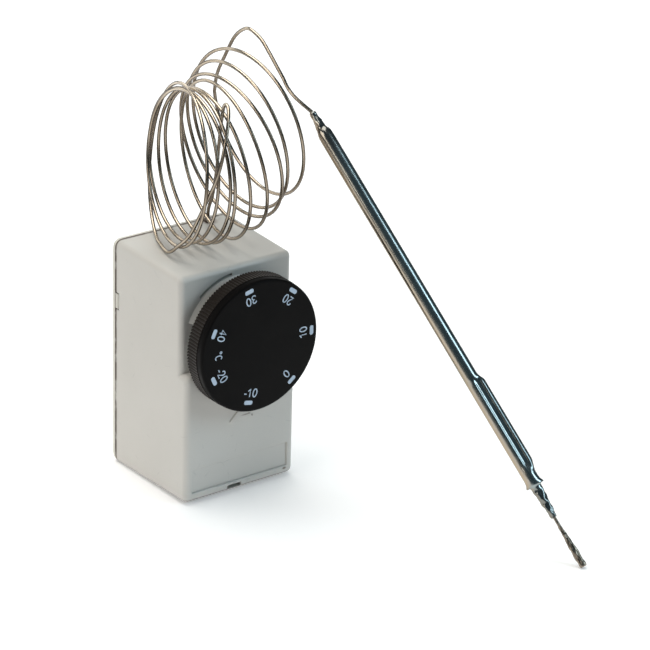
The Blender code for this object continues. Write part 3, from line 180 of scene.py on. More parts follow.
# %% Effect groups
def new_group(name, output, **inputs):
    """Starts a node group with one output. The kind of an input follows from its default."""
    group = bpy.data.node_groups.new(name, "ShaderNodeTree")
    for key, value in inputs.items():
        kind = "NodeSocketColor" if isinstance(value, tuple) else "NodeSocketFloat"
        socket = group.interface.new_socket(name=key.replace("_", " "), in_out="INPUT",
                                            socket_type=kind)
        socket.default_value = value
    kind = "NodeSocketColor" if output == "Color" else "NodeSocketFloat"
    group.interface.new_socket(name=output, in_out="OUTPUT", socket_type=kind)
    return group, group.nodes.new("NodeGroupInput").outputs


def end_group(group, value):
    group.links.new(value, group.nodes.new("NodeGroupOutput").inputs[0])
    return group


def build_mottle():
    """Two colours that change into each other in soft clouds and fine specks."""
    group, given = new_group("mottle", "Color", Base=(0.5, 0.5, 0.5, 1),
                             Cloud_Tint=(0.4, 0.4, 0.4, 1), Speck_Tint=(0.3, 0.3, 0.3, 1),
                             Cloud_Size=0.03, Speck_Size=0.0008, Cloud_Amount=0.3,
                             Speck_Amount=0.2)
    clouds = spread(group, noise_node(group, given["Cloud Size"], 4.0), 0.35, 0.7)
    specks = spread(group, noise_node(group, given["Speck Size"], 2.0, 0.7), 0.56, 0.74)
    cloud_share = times(group, clouds, given["Cloud Amount"], True)
    speck_share = times(group, specks, given["Speck Amount"], True)
    clouded = mix_colors(group, cloud_share, given["Base"], given["Cloud Tint"])
    return end_group(group, mix_colors(group, speck_share, clouded, given["Speck Tint"]))


def build_uneven_gloss():
    """A roughness that wanders between two values."""
    group, given = new_group("uneven_gloss", "Roughness", Low=0.3, High=0.5, Size=0.01)
    cloud = spread(group, noise_node(group, given["Size"], 5.0), 0.3, 0.7)
    gap = math_node(group, "SUBTRACT", given["High"], given["Low"])
    return end_group(group, math_node(group, "ADD", given["Low"], times(group, cloud, gap)))


def build_grain():
    """A fine relief, such as spark-eroded mould texture or the skin of cast metal."""
    group, given = new_group("grain", "Height", Size=0.0004, Coarse_Size=0.004, Coarse_Share=0.3)
    fine = noise_node(group, given["Size"], 2.0)
    coarse = times(group, noise_node(group, given["Coarse Size"], 3.0), given["Coarse Share"])
    return end_group(group, math_node(group, "ADD", fine, coarse))


def build_scratches():
    """Thin bent lines, kept only here and there, as handling leaves them."""
    group, given = new_group("scratches", "Mask", Size=0.012, Width=0.02)
    place = object_place(group)
    bend = add_node(group, "TexNoise", {"Vector": place, "Scale": 60.0}).outputs["Color"]
    bent = vector_node(group, "MULTIPLY_ADD", bend, (0.004, 0.004, 0.004), place)
    cell_inputs = {"Vector": bent, "Scale": math_node(group, "DIVIDE", 1.0, given["Size"])}
    cells = add_node(group, "TexVoronoi", cell_inputs, feature="DISTANCE_TO_EDGE")
    line = math_node(group, "LESS_THAN", cells.outputs["Distance"], given["Width"])
    patches = spread(group, noise_node(group, 0.006, 2.0), 0.58, 0.66)
    return end_group(group, times(group, line, patches, True))


MOTTLE, UNEVEN_GLOSS = build_mottle(), build_uneven_gloss()
GRAIN, SCRATCHES = build_grain(), build_scratches()
print("effect groups:", [g.name for g in (MOTTLE, UNEVEN_GLOSS, GRAIN, SCRATCHES)])

# %% [markdown]
# Every finish below starts the same way: colour from the mottle group, roughness from the uneven
# gloss group and a bump from the grain group. What differs is the values, and for some of them
# one more effect on top. A helper sets up the common part, and the others lay a further colour
# over it.

# %% A helper for finishes
def place_group(tree, group, **values):
    inputs = {name.replace("_", " "): value for name, value in values.items()}
    return add_node(tree, "Group", inputs, node_tree=group).outputs[0]


def new_finish(name, base, cloud, speck, clouds, specks, gloss, grain, bump, metallic=0.0,
               coarse_size=0.004):
    """Clouds and specks have a size and an amount, the gloss has its low, its high and a size,
    and the bump has a strength and a depth."""
    material = bpy.data.materials.new(name)
    material.use_nodes = True
    tree = material.node_tree
    color = place_group(tree, MOTTLE, Base=base, Cloud_Tint=cloud, Speck_Tint=speck,
                        Cloud_Size=clouds[0], Cloud_Amount=clouds[1], Speck_Size=specks[0],
                        Speck_Amount=specks[1])
    roughness = place_group(tree, UNEVEN_GLOSS, Low=gloss[0], High=gloss[1], Size=gloss[2])
    relief = place_group(tree, GRAIN, Size=grain, Coarse_Size=coarse_size)
    dents = add_node(tree, "Bump", {"Strength": bump[0], "Distance": bump[1], "Height": relief})
    shader = tree.nodes["Principled BSDF"]
    for key, value in (("Base Color", color), ("Roughness", roughness), ("Metallic", metallic),
                       ("Normal", dents.outputs["Normal"])):
        feed(tree, shader.inputs[key], value)
    return material


def tint(material, share, color, amount=1.0):
    """Lays one more colour over a finish where the share says so, by this amount at most."""
    tree = material.node_tree
    socket = tree.nodes["Principled BSDF"].inputs["Base Color"]
    share = times(tree, share, amount)
    tree.links.new(mix_colors(tree, share, socket.links[0].from_socket, color), socket)


def paint_edge_reflection(material, low, high, color):
    """A painted reflection: the metal's colour is darkened where it turns away from the eye. This
    colour depends on the view, so it slides when the camera moves and the exported model loses it."""
    tree = material.node_tree
    facing = add_node(tree, "LayerWeight", {"Blend": 0.5}).outputs["Facing"]
    tint(material, spread(tree, facing, low, high), color)


def paint_side_reflection(material, side, low, high, color):
    """A painted reflection: another colour where the surface faces one way, such as towards the
    paper.
    """
    tree = material.node_tree
    side = Vector(side).normalized()
    turned = vector_node(tree, "DOT_PRODUCT", surface(tree, "Normal"), side)
    tint(material, spread(tree, turned, low, high), color)


print("finish helpers are ready")

# %% [markdown]
# The object stands on white paper. A wide soft light overhead makes the top bright, a softbox on
# the left lights that side, and the front is left to the light that the paper throws back. A
# pale backdrop shines on the tops of the wires. The room behind the camera is dark, which is what
# the polished bulb mirrors.

# %% Floor and lights
# The paper's colour, and the painted shade where the light falls off further out
PAPER, FALLOFF_SHADE = (0.93, 0.93, 0.935), (0.16, 0.17, 0.18)
PAPER_MIDDLE, PAPER_EDGE, FALLOFF_SHADE_EDGE = (0.25, 0.33, 0), 0.78, 1.0
SOFTBOXES = {
    # Place, aim, width, height, power, colour
    "overhead": ((-0.1, 0.35, 1.7), (0.0, 0.15, 0.0), 1.6, 1.6, 26.0, (1.0, 0.965, 0.91)),
    "left": ((-1.5, -0.1, 0.75), (0, 0, 0.08), 0.8, 1.0, 8.6, (1.0, 0.945, 0.88)),
    "right": ((0.95, -1.4, 1.05), (0, 0, 0.08), 0.6, 1.0, 11.0, (0.68, 0.88, 1.0)),
    "rear": ((1.4, 1.7, 0.8), (0, 0, 0.1), 1.6, 1.2, 10.0, (1.0, 0.985, 0.95)),
    "backdrop": ((-0.3, 1.9, 0.75), (0, 0, 0.1), 2.6, 1.2, 10.0, (1.0, 0.97, 0.92)),
}


def clear_selection():
    if bpy.context.object is not None and bpy.context.object.mode != "OBJECT":
        bpy.ops.object.mode_set(mode="OBJECT")
    bpy.ops.object.select_all(action="DESELECT")


def add_floor():
    """A wide floor: white paper around the object, which fades further out into a darker painted
    fall-off of the light.
    """
    clear_selection()
    bpy.ops.mesh.primitive_plane_add(size=8.0, location=(0, 0, 0))
    floor = bpy.context.object
    floor.name = "paper_floor"
    paper = bpy.data.materials.new("white_paper_painted_falloff")
    paper.use_nodes = True
    tree = paper.node_tree
    distance = vector_node(tree, "DISTANCE", object_place(tree), PAPER_MIDDLE)
    # Painted shade: the paper darkens with distance from its middle, as the light falls off
    color = mix_colors(tree, spread(tree, distance, PAPER_EDGE, FALLOFF_SHADE_EDGE), PAPER, FALLOFF_SHADE)
    shader = tree.nodes["Principled BSDF"]
    for key, value in (("Base Color", color), ("Roughness", 0.9), ("Specular IOR Level", 0.1),
                       ("Emission Color", (1, 1, 1)), ("Emission Strength", 0.22)):
        feed(tree, shader.inputs[key], value)
    floor.data.materials.append(paper)


def add_softbox(name, place, aim, width, height, power, color):
    clear_selection()
    bpy.ops.object.light_add(type="AREA", location=place)
    lamp = bpy.context.object
    lamp.name = name
    lamp.data.shape = "RECTANGLE"
    lamp.data.size, lamp.data.size_y = width, height
    lamp.data.energy = power
    lamp.data.color = color
    lamp.rotation_euler = (Vector(aim) - Vector(place)).to_track_quat("-Z", "Y").to_euler()


add_floor()
for side, values in SOFTBOXES.items():
    add_softbox(side + "_softbox", *values)

world = bpy.data.worlds.new("dim_studio")
world.use_nodes = True
world.node_tree.nodes["Background"].inputs["Color"].default_value = (0.055, 0.085, 0.10, 1)
world.node_tree.nodes["Background"].inputs["Strength"].default_value = 1.0
bpy.context.scene.world = world
bpy.context.scene.view_settings.view_transform = "Standard"

# %% [markdown]
# The housing is matt grey plastic with a warm cast. The mould leaves a fine even texture, and
# handling leaves faint grey clouds. Around the back of the top, where the wire rubs, it has grey
# scuffs and a brown smear where the tube comes out.

# %% Housing plastic
SIDE_DRAFT, END_DRAFT = 0.021, 0.022
SCUFFS = (
    # Place, reach
    ((0.0065, -0.0019, 0.105), (0.0016, 0.0012, 0.002)),
    ((0.0100, -0.0020, 0.105), (0.0022, 0.0014, 0.002)),
    ((0.0140, -0.0022, 0.105), (0.0016, 0.0012, 0.002)),
    ((0.0205, -0.0035, 0.105), (0.0020, 0.0020, 0.002)),
)
FRONT_MARKS = (
    # Place, reach, amount: a scrape on the pointer, its dark end, and a chip in the corner
    ((0.0026, -0.0545, 0.0362), (0.0036, 0.002, 0.0005), 0.6),
    ((0.0058, -0.0545, 0.0349), (0.0008, 0.002, 0.0006), 0.85),
    ((0.0236, -0.0536, 0.0043), (0.0013, 0.002, 0.0007), 0.9),
)


def spot(tree, centre, reach, softness):
    """A mask that is 1 at a place on the piece and fades out with distance."""
    inputs = {"Vector": object_place(tree), "Location": centre, "Scale": reach}
    moved = add_node(tree, "Mapping", inputs, vector_type="TEXTURE").outputs["Vector"]
    return spread(tree, vector_node(tree, "LENGTH", moved), 1.0, softness)


def add_scuffs(material):
    tree = material.node_tree
    rough_patch = spread(tree, noise_node(tree, 0.0011, 3.0, 0.7), 0.5, 0.62)
    for centre, reach in SCUFFS:
        mark = times(tree, spot(tree, centre, reach, 0.3), rough_patch, True)
        tint(material, mark, (0.16, 0.17, 0.15), 0.75)
    smear = spot(tree, (0.0165, -0.0045, 0.105), (0.0042, 0.0042, 0.003), 0.4)
    tint(material, smear, (0.14, 0.07, 0.035), 0.8)
    for centre, reach, amount in FRONT_MARKS:
        tint(material, spot(tree, centre, reach, 0.4), (0.13, 0.085, 0.06), amount)
    scratches = place_group(tree, SCRATCHES, Size=0.016, Width=0.012)
    tint(material, scratches, (0.42, 0.41, 0.39), 0.3)


def add_seam_dirt(material, low, high, stop=-0.1):
    """A dark line along the joint between the cover and the base plate, where dirt gathers."""
    tree = material.node_tree
    patches = spread(tree, noise_node(tree, 0.006, 3.0), 0.25, 0.5)
    share = times(tree, along_axis(tree, "Y", low, high), patches, True)
    share = times(tree, along_axis(tree, "Y", stop - 0.0002, stop), share, True)
    tint(material, share, (0.08, 0.052, 0.036), 0.95)


def add_painted_foot_shade(material):
    """A painted shade: a brownish dark line along the lower edge, where the shadow under the box
    falls. The draft lifts it towards the front.
    """
    tree = material.node_tree
    place = object_place(tree)
    lift = times(tree, axis_of(tree, place, "Y"), END_DRAFT)
    height = math_node(tree, "ADD", axis_of(tree, place, "Z"), lift)
    tint(material, spread(tree, height, 0.0017, 0.0004), (0.12, 0.095, 0.075), 0.75)


housing_plastic = new_finish("housing_plastic", (0.575, 0.555, 0.52), (0.535, 0.52, 0.485),
                             (0.50, 0.485, 0.45), clouds=(0.035, 0.45), specks=(0.0006, 0.25),
                             gloss=(0.38, 0.52, 0.02), grain=0.00035, bump=(0.25, 0.00003))
add_scuffs(housing_plastic)
# Painted shade along the foot of the cover, where the shadow under the box falls
add_painted_foot_shade(housing_plastic)
add_seam_dirt(housing_plastic, -0.0023, -0.0016)
base_plastic = new_finish("base_plastic", (0.66, 0.64, 0.58), (0.61, 0.59, 0.53),
                          (0.54, 0.52, 0.47), clouds=(0.03, 0.4), specks=(0.0008, 0.2),
                          gloss=(0.4, 0.55, 0.02), grain=0.00035, bump=(0.25, 0.00003))
add_seam_dirt(base_plastic, -0.00045, -0.00065, -0.0009)
# Painted shade along the foot of the base plate, where the shadow under the box falls
add_painted_foot_shade(base_plastic)
print("made", housing_plastic.name, base_plastic.name)

# %% [markdown]
# Modelling by hand. New pieces start from a primitive and are shaped in edit mode. These helpers
# go into edit mode, pick faces, edges or points by their place, and take the piece out again with
# its place in its mesh. Everything is deselected first, because an operator acts on all that is
# selected.

# %% Modelling helpers
def near(value, target):
    return abs(value - target) < 0.01 * MM


def select_only(piece):
    clear_selection()
    piece.select_set(True)
    bpy.context.view_layer.objects.active = piece


def open_piece(piece):
    select_only(piece)
    bpy.ops.object.mode_set(mode="EDIT")


def leave_edit():
    bpy.ops.object.mode_set(mode="OBJECT")


def apply_place():
    bpy.ops.object.transform_apply(location=True, rotation=True, scale=True)


def pick(piece, kind, test):
    """Selects the faces, edges or points that pass a test, and says how many do."""
    bpy.ops.mesh.select_mode(type={"verts": "VERT", "edges": "EDGE", "faces": "FACE"}[kind])
    bpy.ops.mesh.select_all(action="DESELECT")
    mesh = bmesh.from_edit_mesh(piece.data)
    mesh.normal_update()
    found = [item for item in getattr(mesh, kind) if test(item)]
    for item in found:
        item.select_set(True)
    mesh.select_flush_mode()
    bmesh.update_edit_mesh(piece.data)
    return len(found)


def select_all():
    bpy.ops.mesh.select_all(action="SELECT")


def mend_normals():
    select_all()
    bpy.ops.mesh.normals_make_consistent(inside=False)


def extrude_selected(x=0.0, y=0.0, z=0.0):
    bpy.ops.mesh.extrude_region_move(TRANSFORM_OT_translate={"value": (x, y, z)})


def resize_selected(x, y, z, centre=(0, 0, 0)):
    bpy.ops.transform.resize(value=(x, y, z), center_override=centre)


def bevel_selected(width, segments):
    bpy.ops.mesh.bevel(offset=width, segments=segments, affect="EDGES")


def close_piece(piece, name, body, replaces, material, angle):
    """Leaves edit mode, puts the piece's place into its mesh, and says what it rides on."""
    select_only(piece)
    apply_place()
    piece.name = piece.data.name = name
    if angle:
        bpy.ops.object.shade_smooth_by_angle(angle=math.radians(angle))
    piece.data.materials.clear()
    piece.data.materials.append(material)
    if body:
        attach(piece, body)
    if replaces:
        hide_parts(*replaces)


def apply_modifier(piece, kind, **settings):
    select_only(piece)
    modifier = piece.modifiers.new(kind.lower(), kind)
    for key, value in settings.items():
        setattr(modifier, key, value)
    bpy.ops.object.modifier_apply(modifier=modifier.name)


def carve(piece, tool, operation="DIFFERENCE"):
    """Cuts a tool out of a piece, or joins it on, and removes the tool."""
    apply_modifier(piece, "BOOLEAN", operation=operation, object=tool, solver="EXACT")
    bpy.data.objects.remove(tool)


def add_block(low, high, soft=0.0, segments=3, around=None):
    """A block between two corners. Its edges, or only those along one axis, are rounded."""
    clear_selection()
    low, high = Vector(low), Vector(high)
    bpy.ops.mesh.primitive_cube_add(size=1.0, location=(low + high) / 2, scale=high - low)
    block = bpy.context.object
    apply_place()
    if soft:
        open_piece(block)
        pick(block, "edges", lambda e: around is None or abs(
            (e.verts[0].co - e.verts[1].co)[around]) > 0.5 * (high - low)[around])
        bevel_selected(soft, segments)
        leave_edit()
    return block


def add_rod(radius, start, end, sides=48):
    """A round rod between two points."""
    clear_selection()
    start, end = Vector(start), Vector(end)
    turn = (end - start).to_track_quat("Z", "Y").to_euler()
    bpy.ops.mesh.primitive_cylinder_add(vertices=sides, radius=radius,
                                        depth=(end - start).length,
                                        location=(start + end) / 2, rotation=turn)
    rod = bpy.context.object
    apply_place()
    return rod


def draw_paths(name, paths, radius, resolution):
    """Lays a round wire along each path of points and turns the wires into a mesh."""
    clear_selection()
    bpy.ops.curve.primitive_nurbs_path_add()
    curve = bpy.context.object
    curve.name = name
    curve.data.splines.clear()
    for path in paths:
        spline = curve.data.splines.new("POLY")
        spline.points.add(len(path) - 1)
        for point, place in zip(spline.points, path):
            point.co = (*place, 1)
    curve.data.bevel_depth = radius
    curve.data.bevel_resolution = resolution
    curve.data.use_fill_caps = True
    curve.data.twist_mode = "MINIMUM"
    bpy.ops.object.convert(target="MESH")
    return bpy.context.object


print("modelling helpers are ready")

# %% [markdown]
# The cover is one moulded shell. It could be a box with rounded edges, but the real one has
# drafted walls, so that it leaves its mould, and a front in two levels: the upper one is set back
# to make room for the dial. It starts as a cube, gets its step by an extrusion, its draft by
# moving rows of points, and its roundings by a bevel that leaves the rear edge and the inner
# corner of the step sharp. Solidify then gives it its wall.

# %% Cover shell
SEAM_Y = -1.1 * MM
LOWER_Y = SEAM_Y - 52.5 * MM
UPPER_Y = SEAM_Y - 47.7 * MM
LEDGE_Z, DIAL_Z, BOX_TOP = 60.4 * MM, 73.4 * MM, 105 * MM
BOX_HALF = 29.5 * MM
COVER_ROUND, COVER_WALL = 2.6 * MM, 2.2 * MM


def draft_row(piece, y, ends):
    """Moves the points of one depth inwards, as the mould's draft does."""
    depth = SEAM_Y - y
    pick(piece, "verts", lambda v: near(v.co.y, y))
    resize_selected(1 - SIDE_DRAFT * depth / BOX_HALF, 1, 1, (0, y, 0))
    for z, inwards in ends:
        pick(piece, "verts", lambda v: near(v.co.y, y) and near(v.co.z, z))
        bpy.ops.transform.translate(value=(0, 0, inwards * END_DRAFT * depth))


def model_cover():
    cover = add_block((-BOX_HALF, UPPER_Y, 0), (BOX_HALF, SEAM_Y, BOX_TOP))
    open_piece(cover)
    select_all()
    bpy.ops.mesh.bisect(plane_co=(0, 0, LEDGE_Z), plane_no=(0, 0, 1))
    pick(cover, "faces", lambda f: f.normal.y < -0.9 and f.calc_center_median().z < LEDGE_Z)
    extrude_selected(y=LOWER_Y - UPPER_Y)
    draft_row(cover, UPPER_Y, ((0, 1), (BOX_TOP, -1)))
    draft_row(cover, LOWER_Y, ((0, 1),))
    pick(cover, "faces", lambda f: f.normal.y > 0.9)
    bpy.ops.mesh.delete(type="ONLY_FACE")

    def rounded(edge):
        places = [v.co for v in edge.verts]
        rear = all(near(p.y, SEAM_Y) for p in places)
        inner = all(near(p.y, UPPER_Y) and near(p.z, LEDGE_Z) for p in places)
        flat = len(edge.link_faces) == 2 and edge.calc_face_angle(0) < 0.2
        return not (rear or inner or flat)

    print("edges to round:", pick(cover, "edges", rounded))
    bevel_selected(COVER_ROUND, 8)
    mend_normals()
    leave_edit()
    apply_modifier(cover, "SOLIDIFY", thickness=COVER_WALL, offset=-1.0, use_even_offset=True)
    return cover


cover_shell = model_cover()
print("cover shell:", len(cover_shell.data.polygons), "faces")

# %% [markdown]
# The openings and reliefs of the cover: a hole for the dial's bush, notches for the snap tabs and
# for the tube, the sunken bare panel, the pry slot, and beside the dial a raised arc with a groove
# outside it. The arcs are a small rectangle spun about the dial's axis. The pointer is a flat
# triangle, softened at its edges so that they catch the light.

# %% Cover details
PANEL_X, PANEL_Z, PANEL_RIM = (-24.8, 24.8), (5.4, 16.5), 0.85


def place_corners(piece, corners):
    """Puts the points of a flat primitive, open in edit mode, where its corners belong."""
    mesh = bmesh.from_edit_mesh(piece.data)
    for vert, corner in zip(mesh.verts, corners):
        vert.co = corner
    bmesh.update_edit_mesh(piece.data)
    select_all()


def add_arc(inner, outer, rear_y, front_y, start, end, top=None, steps=40):
    """A rectangle, or a shape with a sloping flank, spun about the dial's axis. The radii and
    depths are in millimetres, the depths from the upper front, the angles in degrees from +X."""
    clear_selection()
    bpy.ops.mesh.primitive_circle_add(vertices=4, fill_type="NGON")
    arc = bpy.context.object
    open_piece(arc)
    turn = math.radians(start)
    section = ((inner, rear_y), (outer, rear_y), (top or outer, front_y), (inner, front_y))
    place_corners(arc, [(radius * MM * math.cos(turn), UPPER_Y + y * MM,
                         DIAL_Z + radius * MM * math.sin(turn)) for radius, y in section])
    bpy.ops.mesh.spin(steps=steps, angle=math.radians(end - start), center=(0, 0, DIAL_Z),
                      axis=(0, 1, 0))
    select_all()
    bpy.ops.mesh.remove_doubles(threshold=0.000001)
    mend_normals()
    leave_edit()
    return arc


def add_pointer():
    """A flat triangle on the front, point up, its edges softened."""
    clear_selection()
    bpy.ops.mesh.primitive_circle_add(vertices=3, fill_type="NGON")
    pointer = bpy.context.object
    open_piece(pointer)
    place_corners(pointer, [(x * MM, LOWER_Y + 0.3 * MM, z * MM)
                            for x, z in ((-6, 34.5), (6, 34.5), (0, 40.5))])
    extrude_selected(y=-0.9 * MM)
    mend_normals()
    pick(pointer, "edges", lambda e: all(v.co.y < LOWER_Y for v in e.verts))
    bevel_selected(0.25 * MM, 3)
    leave_edit()
    return pointer


def span_block(front, x, y, z, *rounding):
    """A block from its spans in millimetres. The depth is counted from a front."""
    low, high = ((a * MM, front + b * MM, c * MM) for a, b, c in zip(x, y, z))
    return add_block(low, high, *rounding)


def flared_block(front, x, y, z, grow):
    """A block whose front face is larger on all sides, to chamfer the rim of the panel."""
    block = span_block(front, x, y, z, 0.5 * MM, 4, 1)
    open_piece(block)
    pick(block, "verts", lambda v: near(v.co.y, front + y[0] * MM))
    resize_selected(1 + 2 * grow / (x[1] - x[0]), 1, 1 + 2 * grow / (z[1] - z[0]),
                    (sum(x) / 2 * MM, 0, sum(z) / 2 * MM))
    leave_edit()
    return block


def detail_cover(cover):
    carve(cover, add_rod(5.0 * MM, (0, UPPER_Y - 1 * MM, DIAL_Z), (0, UPPER_Y + 6 * MM, DIAL_Z)))
    carve(cover, add_arc(23.0, 26.6, 0.3, -1.3, 86, 158, top=24.0), "UNION")
    carve(cover, add_arc(26.5, 27.7, 4.0, -1.0, 95, 133))
    carve(cover, span_block(LOWER_Y, PANEL_X, (-1, 0.8), PANEL_Z, 0.5 * MM, 4, 1))
    carve(cover, flared_block(LOWER_Y, PANEL_X, (-0.5, 0.35), PANEL_Z, PANEL_RIM))
    carve(cover, span_block(LOWER_Y, (-6.5, 0.9), (-1, 4), (2.3, 4.1), 0.5 * MM, 3, 1))
    for x in ((-32, -25), (25, 32)):
        carve(cover, span_block(SEAM_Y, x, (-2.6, 2), (73.4, 81.4)))
    carve(cover, span_block(SEAM_Y, (14.3, 18.7), (-4.4, 2), (100, 108)))
    carve(cover, add_pointer(), "UNION")


detail_cover(cover_shell)
close_piece(cover_shell, "cover_shell", "housing", ["cover"], housing_plastic, 28)
print("cover with details:", len(cover_shell.data.polygons), "faces")

# %% [markdown]
# The dial is a deep cap. Its rear two thirds carry 132 fine ribs for the fingers, then comes a
# plain lip with a rounded edge, then the flat face with the scale. A cylinder with six points to
# each rib is inset and extruded into the lip on one side and into the hollow with its hub on the
# other. Only then are the valleys between the ribs drawn in, so that the lip stays round.

# %% Dial
KNOB_REAR, KNOB_BAND_END, KNOB_FACE = -56.3 * MM, -62.9 * MM, -66.6 * MM
KNOB_RIBS, KNOB_RADIUS, KNOB_WALL = 132, 30, 2.2
HUB_REAR, HUB_RADIUS, HUB_BORE, HUB_DEPTH = -51.7 * MM, 5.5, 3.15, 11.9
LIP = ((29.7, -63.1), (29.75, -65.3), (29.65, -66.0), (29.4, -66.35), (29.0, -66.55),
       (28.5, -66.6))
RIB_SHARES = ((0, 0.5), (1, 0.26), (5, 0.26), (2, 0.05), (4, 0.05))

dial_black = new_finish("dial_black", (0.0035, 0.0031, 0.0032), (0.0052, 0.0045, 0.0042),
                        (0.008, 0.007, 0.0065), clouds=(0.012, 0.5), specks=(0.0005, 0.25),
                        gloss=(0.36, 0.5, 0.008), grain=0.0003, bump=(0.15, 0.00002))


def lighten_band(material):
    """The ribbed band is worn and dusty, so it is lighter than the face and shines more, but the
    dust dulls what faces up. The exported model loses the linked specular level."""
    tree = material.node_tree
    band = along_axis(tree, "Y", -0.0633, -0.0628)
    tint(material, band, (0.016, 0.0125, 0.0105))
    level = math_node(tree, "ADD", times(tree, band, 0.08), 0.06)
    upward = axis_of(tree, surface(tree, "Normal"), "Z")
    dull = times(tree, spread(tree, upward, 0.1, 0.8), 0.7)
    level = times(tree, level, math_node(tree, "SUBTRACT", 1.0, dull))
    feed(tree, tree.nodes["Principled BSDF"].inputs["Specular IOR Level"], level)


def at_depth(y):
    return lambda item: all(near(v.co.y, y) for v in item.verts)


def shrink_selected(share):
    resize_selected(share, 1, share, (0, 0, DIAL_Z))


def add_lip_and_face(knob):
    pick(knob, "faces", at_depth(KNOB_BAND_END))
    shrink_selected(29.9 / KNOB_RADIUS)
    extrude_selected()
    shrink_selected(29.55 / 29.9)
    last_radius, last_y = 29.55, KNOB_BAND_END / MM
    for radius, y in LIP:
        extrude_selected(y=(y - last_y) * MM)
        shrink_selected(radius / last_radius)
        last_radius, last_y = radius, y


def add_hollow_and_hub(knob):
    floor = KNOB_FACE + KNOB_WALL * MM
    pick(knob, "faces", at_depth(KNOB_REAR))
    bpy.ops.mesh.inset(thickness=KNOB_WALL * MM)
    extrude_selected(y=floor - KNOB_REAR)
    extrude_selected()
    shrink_selected(HUB_RADIUS / (KNOB_RADIUS - KNOB_WALL))
    extrude_selected(y=HUB_REAR - floor)
    bpy.ops.mesh.inset(thickness=(HUB_RADIUS - HUB_BORE) * MM)
    extrude_selected(y=-HUB_DEPTH * MM)


def draw_in_valleys(knob):
    def on_band(vert):
        radius = math.hypot(vert.co.x, vert.co.z - DIAL_Z)
        return radius > 29.93 * MM and (near(vert.co.y, KNOB_REAR)
                                        or near(vert.co.y, KNOB_BAND_END))

    def rib_share(vert):
        turn = math.atan2(vert.co.z - DIAL_Z, vert.co.x) / (2 * math.pi)
        return round(turn * 6 * KNOB_RIBS) % 6

    for share, depth in RIB_SHARES:
        pick(knob, "verts", lambda v: on_band(v) and rib_share(v) == share)
        shrink_selected(1 - depth / KNOB_RADIUS)


def model_knob():
    clear_selection()
    bpy.ops.mesh.primitive_cylinder_add(vertices=6 * KNOB_RIBS, radius=KNOB_RADIUS * MM,
                                        depth=KNOB_REAR - KNOB_BAND_END,
                                        location=(0, (KNOB_REAR + KNOB_BAND_END) / 2, DIAL_Z),
                                        rotation=(math.radians(90), 0, 0))
    knob = bpy.context.object
    apply_place()
    open_piece(knob)
    add_lip_and_face(knob)
    add_hollow_and_hub(knob)
    draw_in_valleys(knob)
    mend_normals()
    return knob


lighten_band(dial_black)
dial_cap = model_knob()
close_piece(dial_cap, "dial_cap", "dial", ["dial_knob"], dial_black, 32)
print("dial:", len(dial_cap.data.polygons), "faces")

# %% [markdown]
# The scale is printed in a cold white: seven bars near the rim, a number inside each, and the unit
# between the scale's two ends. The tops of the numbers point to the dial's middle. Each bar and
# number is a thin layer of ink: a bar is a block with rounded corners, a number is drawn as a
# round path and pressed flat.

# %% Scale print
scale_ink = new_finish("scale_ink", (0.50, 0.60, 0.72), (0.40, 0.50, 0.62), (0.30, 0.38, 0.48),
                       clouds=(0.003, 0.6), specks=(0.0003, 0.5), gloss=(0.45, 0.65, 0.002),
                       grain=0.0002, bump=(0.3, 0.00001))
SCALE = (("-20", 204.8), ("-10", 256.7), ("0", 308.6), ("10", 0.5), ("20", 52.4),
         ("30", 104.4), ("40", 156.3))
INK, STROKE = 0.03 * MM, 0.072
BAR_HALF, BAR_ROUND = (2.15 * MM, 0.95 * MM, INK), 0.8 * MM
PRINT_CENTRE = Vector((0.45 * MM, KNOB_FACE, DIAL_Z + 0.7 * MM))


def print_on_dial(piece, name, turn, radius):
    """Puts a flat piece on the dial's face, its top towards the middle."""
    turn = math.radians(turn)
    outward = Vector((math.cos(turn), 0, math.sin(turn)))
    right = Vector((-outward.z, 0, outward.x))
    place = Matrix((right, -outward, Vector((0, -1, 0)))).transposed().to_4x4()
    place.translation = PRINT_CENTRE + radius * outward
    piece.matrix_world = place
    close_piece(piece, name, "dial", None, scale_ink, 0)


def round_stroke(x, y, wide, high, start, step, count):
    """A part of an ellipse, from a start angle in equal steps, both in degrees."""
    angles = [math.radians(start + step * i) for i in range(count)]
    return [(x + wide * math.cos(a), y + high * math.sin(a)) for a in angles]


DEGREE = "\u00b0"
GLYPHS = {
    "0": round_stroke(0.3, 0.5, 0.25, 0.46, 90, -15, 25),
    "1": [(0.08, 0.70), (0.24, 0.82), (0.36, 0.96), (0.36, 0.04)],
    "2": [(0.06, 0.70), (0.10, 0.86), (0.22, 0.95), (0.36, 0.95), (0.49, 0.86), (0.52, 0.70),
          (0.45, 0.53), (0.06, 0.05), (0.54, 0.05)],
    "3": [(0.06, 0.76), (0.13, 0.91), (0.29, 0.96), (0.45, 0.89), (0.50, 0.73), (0.43, 0.58),
          (0.24, 0.53), (0.43, 0.48), (0.53, 0.33), (0.49, 0.14), (0.33, 0.04), (0.15, 0.07),
          (0.05, 0.22)],
    "4": [(0.43, 0.04), (0.43, 0.95), (0.04, 0.30), (0.58, 0.30)],
    "-": [(0.10, 0.38), (0.42, 0.38)],
    DEGREE: round_stroke(0.2, 0.82, 0.13, 0.13, 90, -30, 13),
    "C": round_stroke(0.33, 0.5, 0.29, 0.46, 45, 27, 11),
}
GLYPH_STEP = {"-": 0.52, DEGREE: 0.5}


def print_text(text, name, turn, radius, height):
    """Draws each character as a round path, then flattens the paths to a layer of ink."""
    steps = [GLYPH_STEP.get(character, 0.71) for character in text]
    left = -(sum(steps) - 0.1) / 2
    paths = [[((left + sum(steps[:i]) + x) * height, (y - 0.5) * height, 0)
              for x, y in GLYPHS[character]] for i, character in enumerate(text)]
    label = draw_paths(name, paths, STROKE * height, 2)
    open_piece(label)
    select_all()
    resize_selected(1, 1, INK / (STROKE * height))
    leave_edit()
    print_on_dial(label, name, turn, radius)


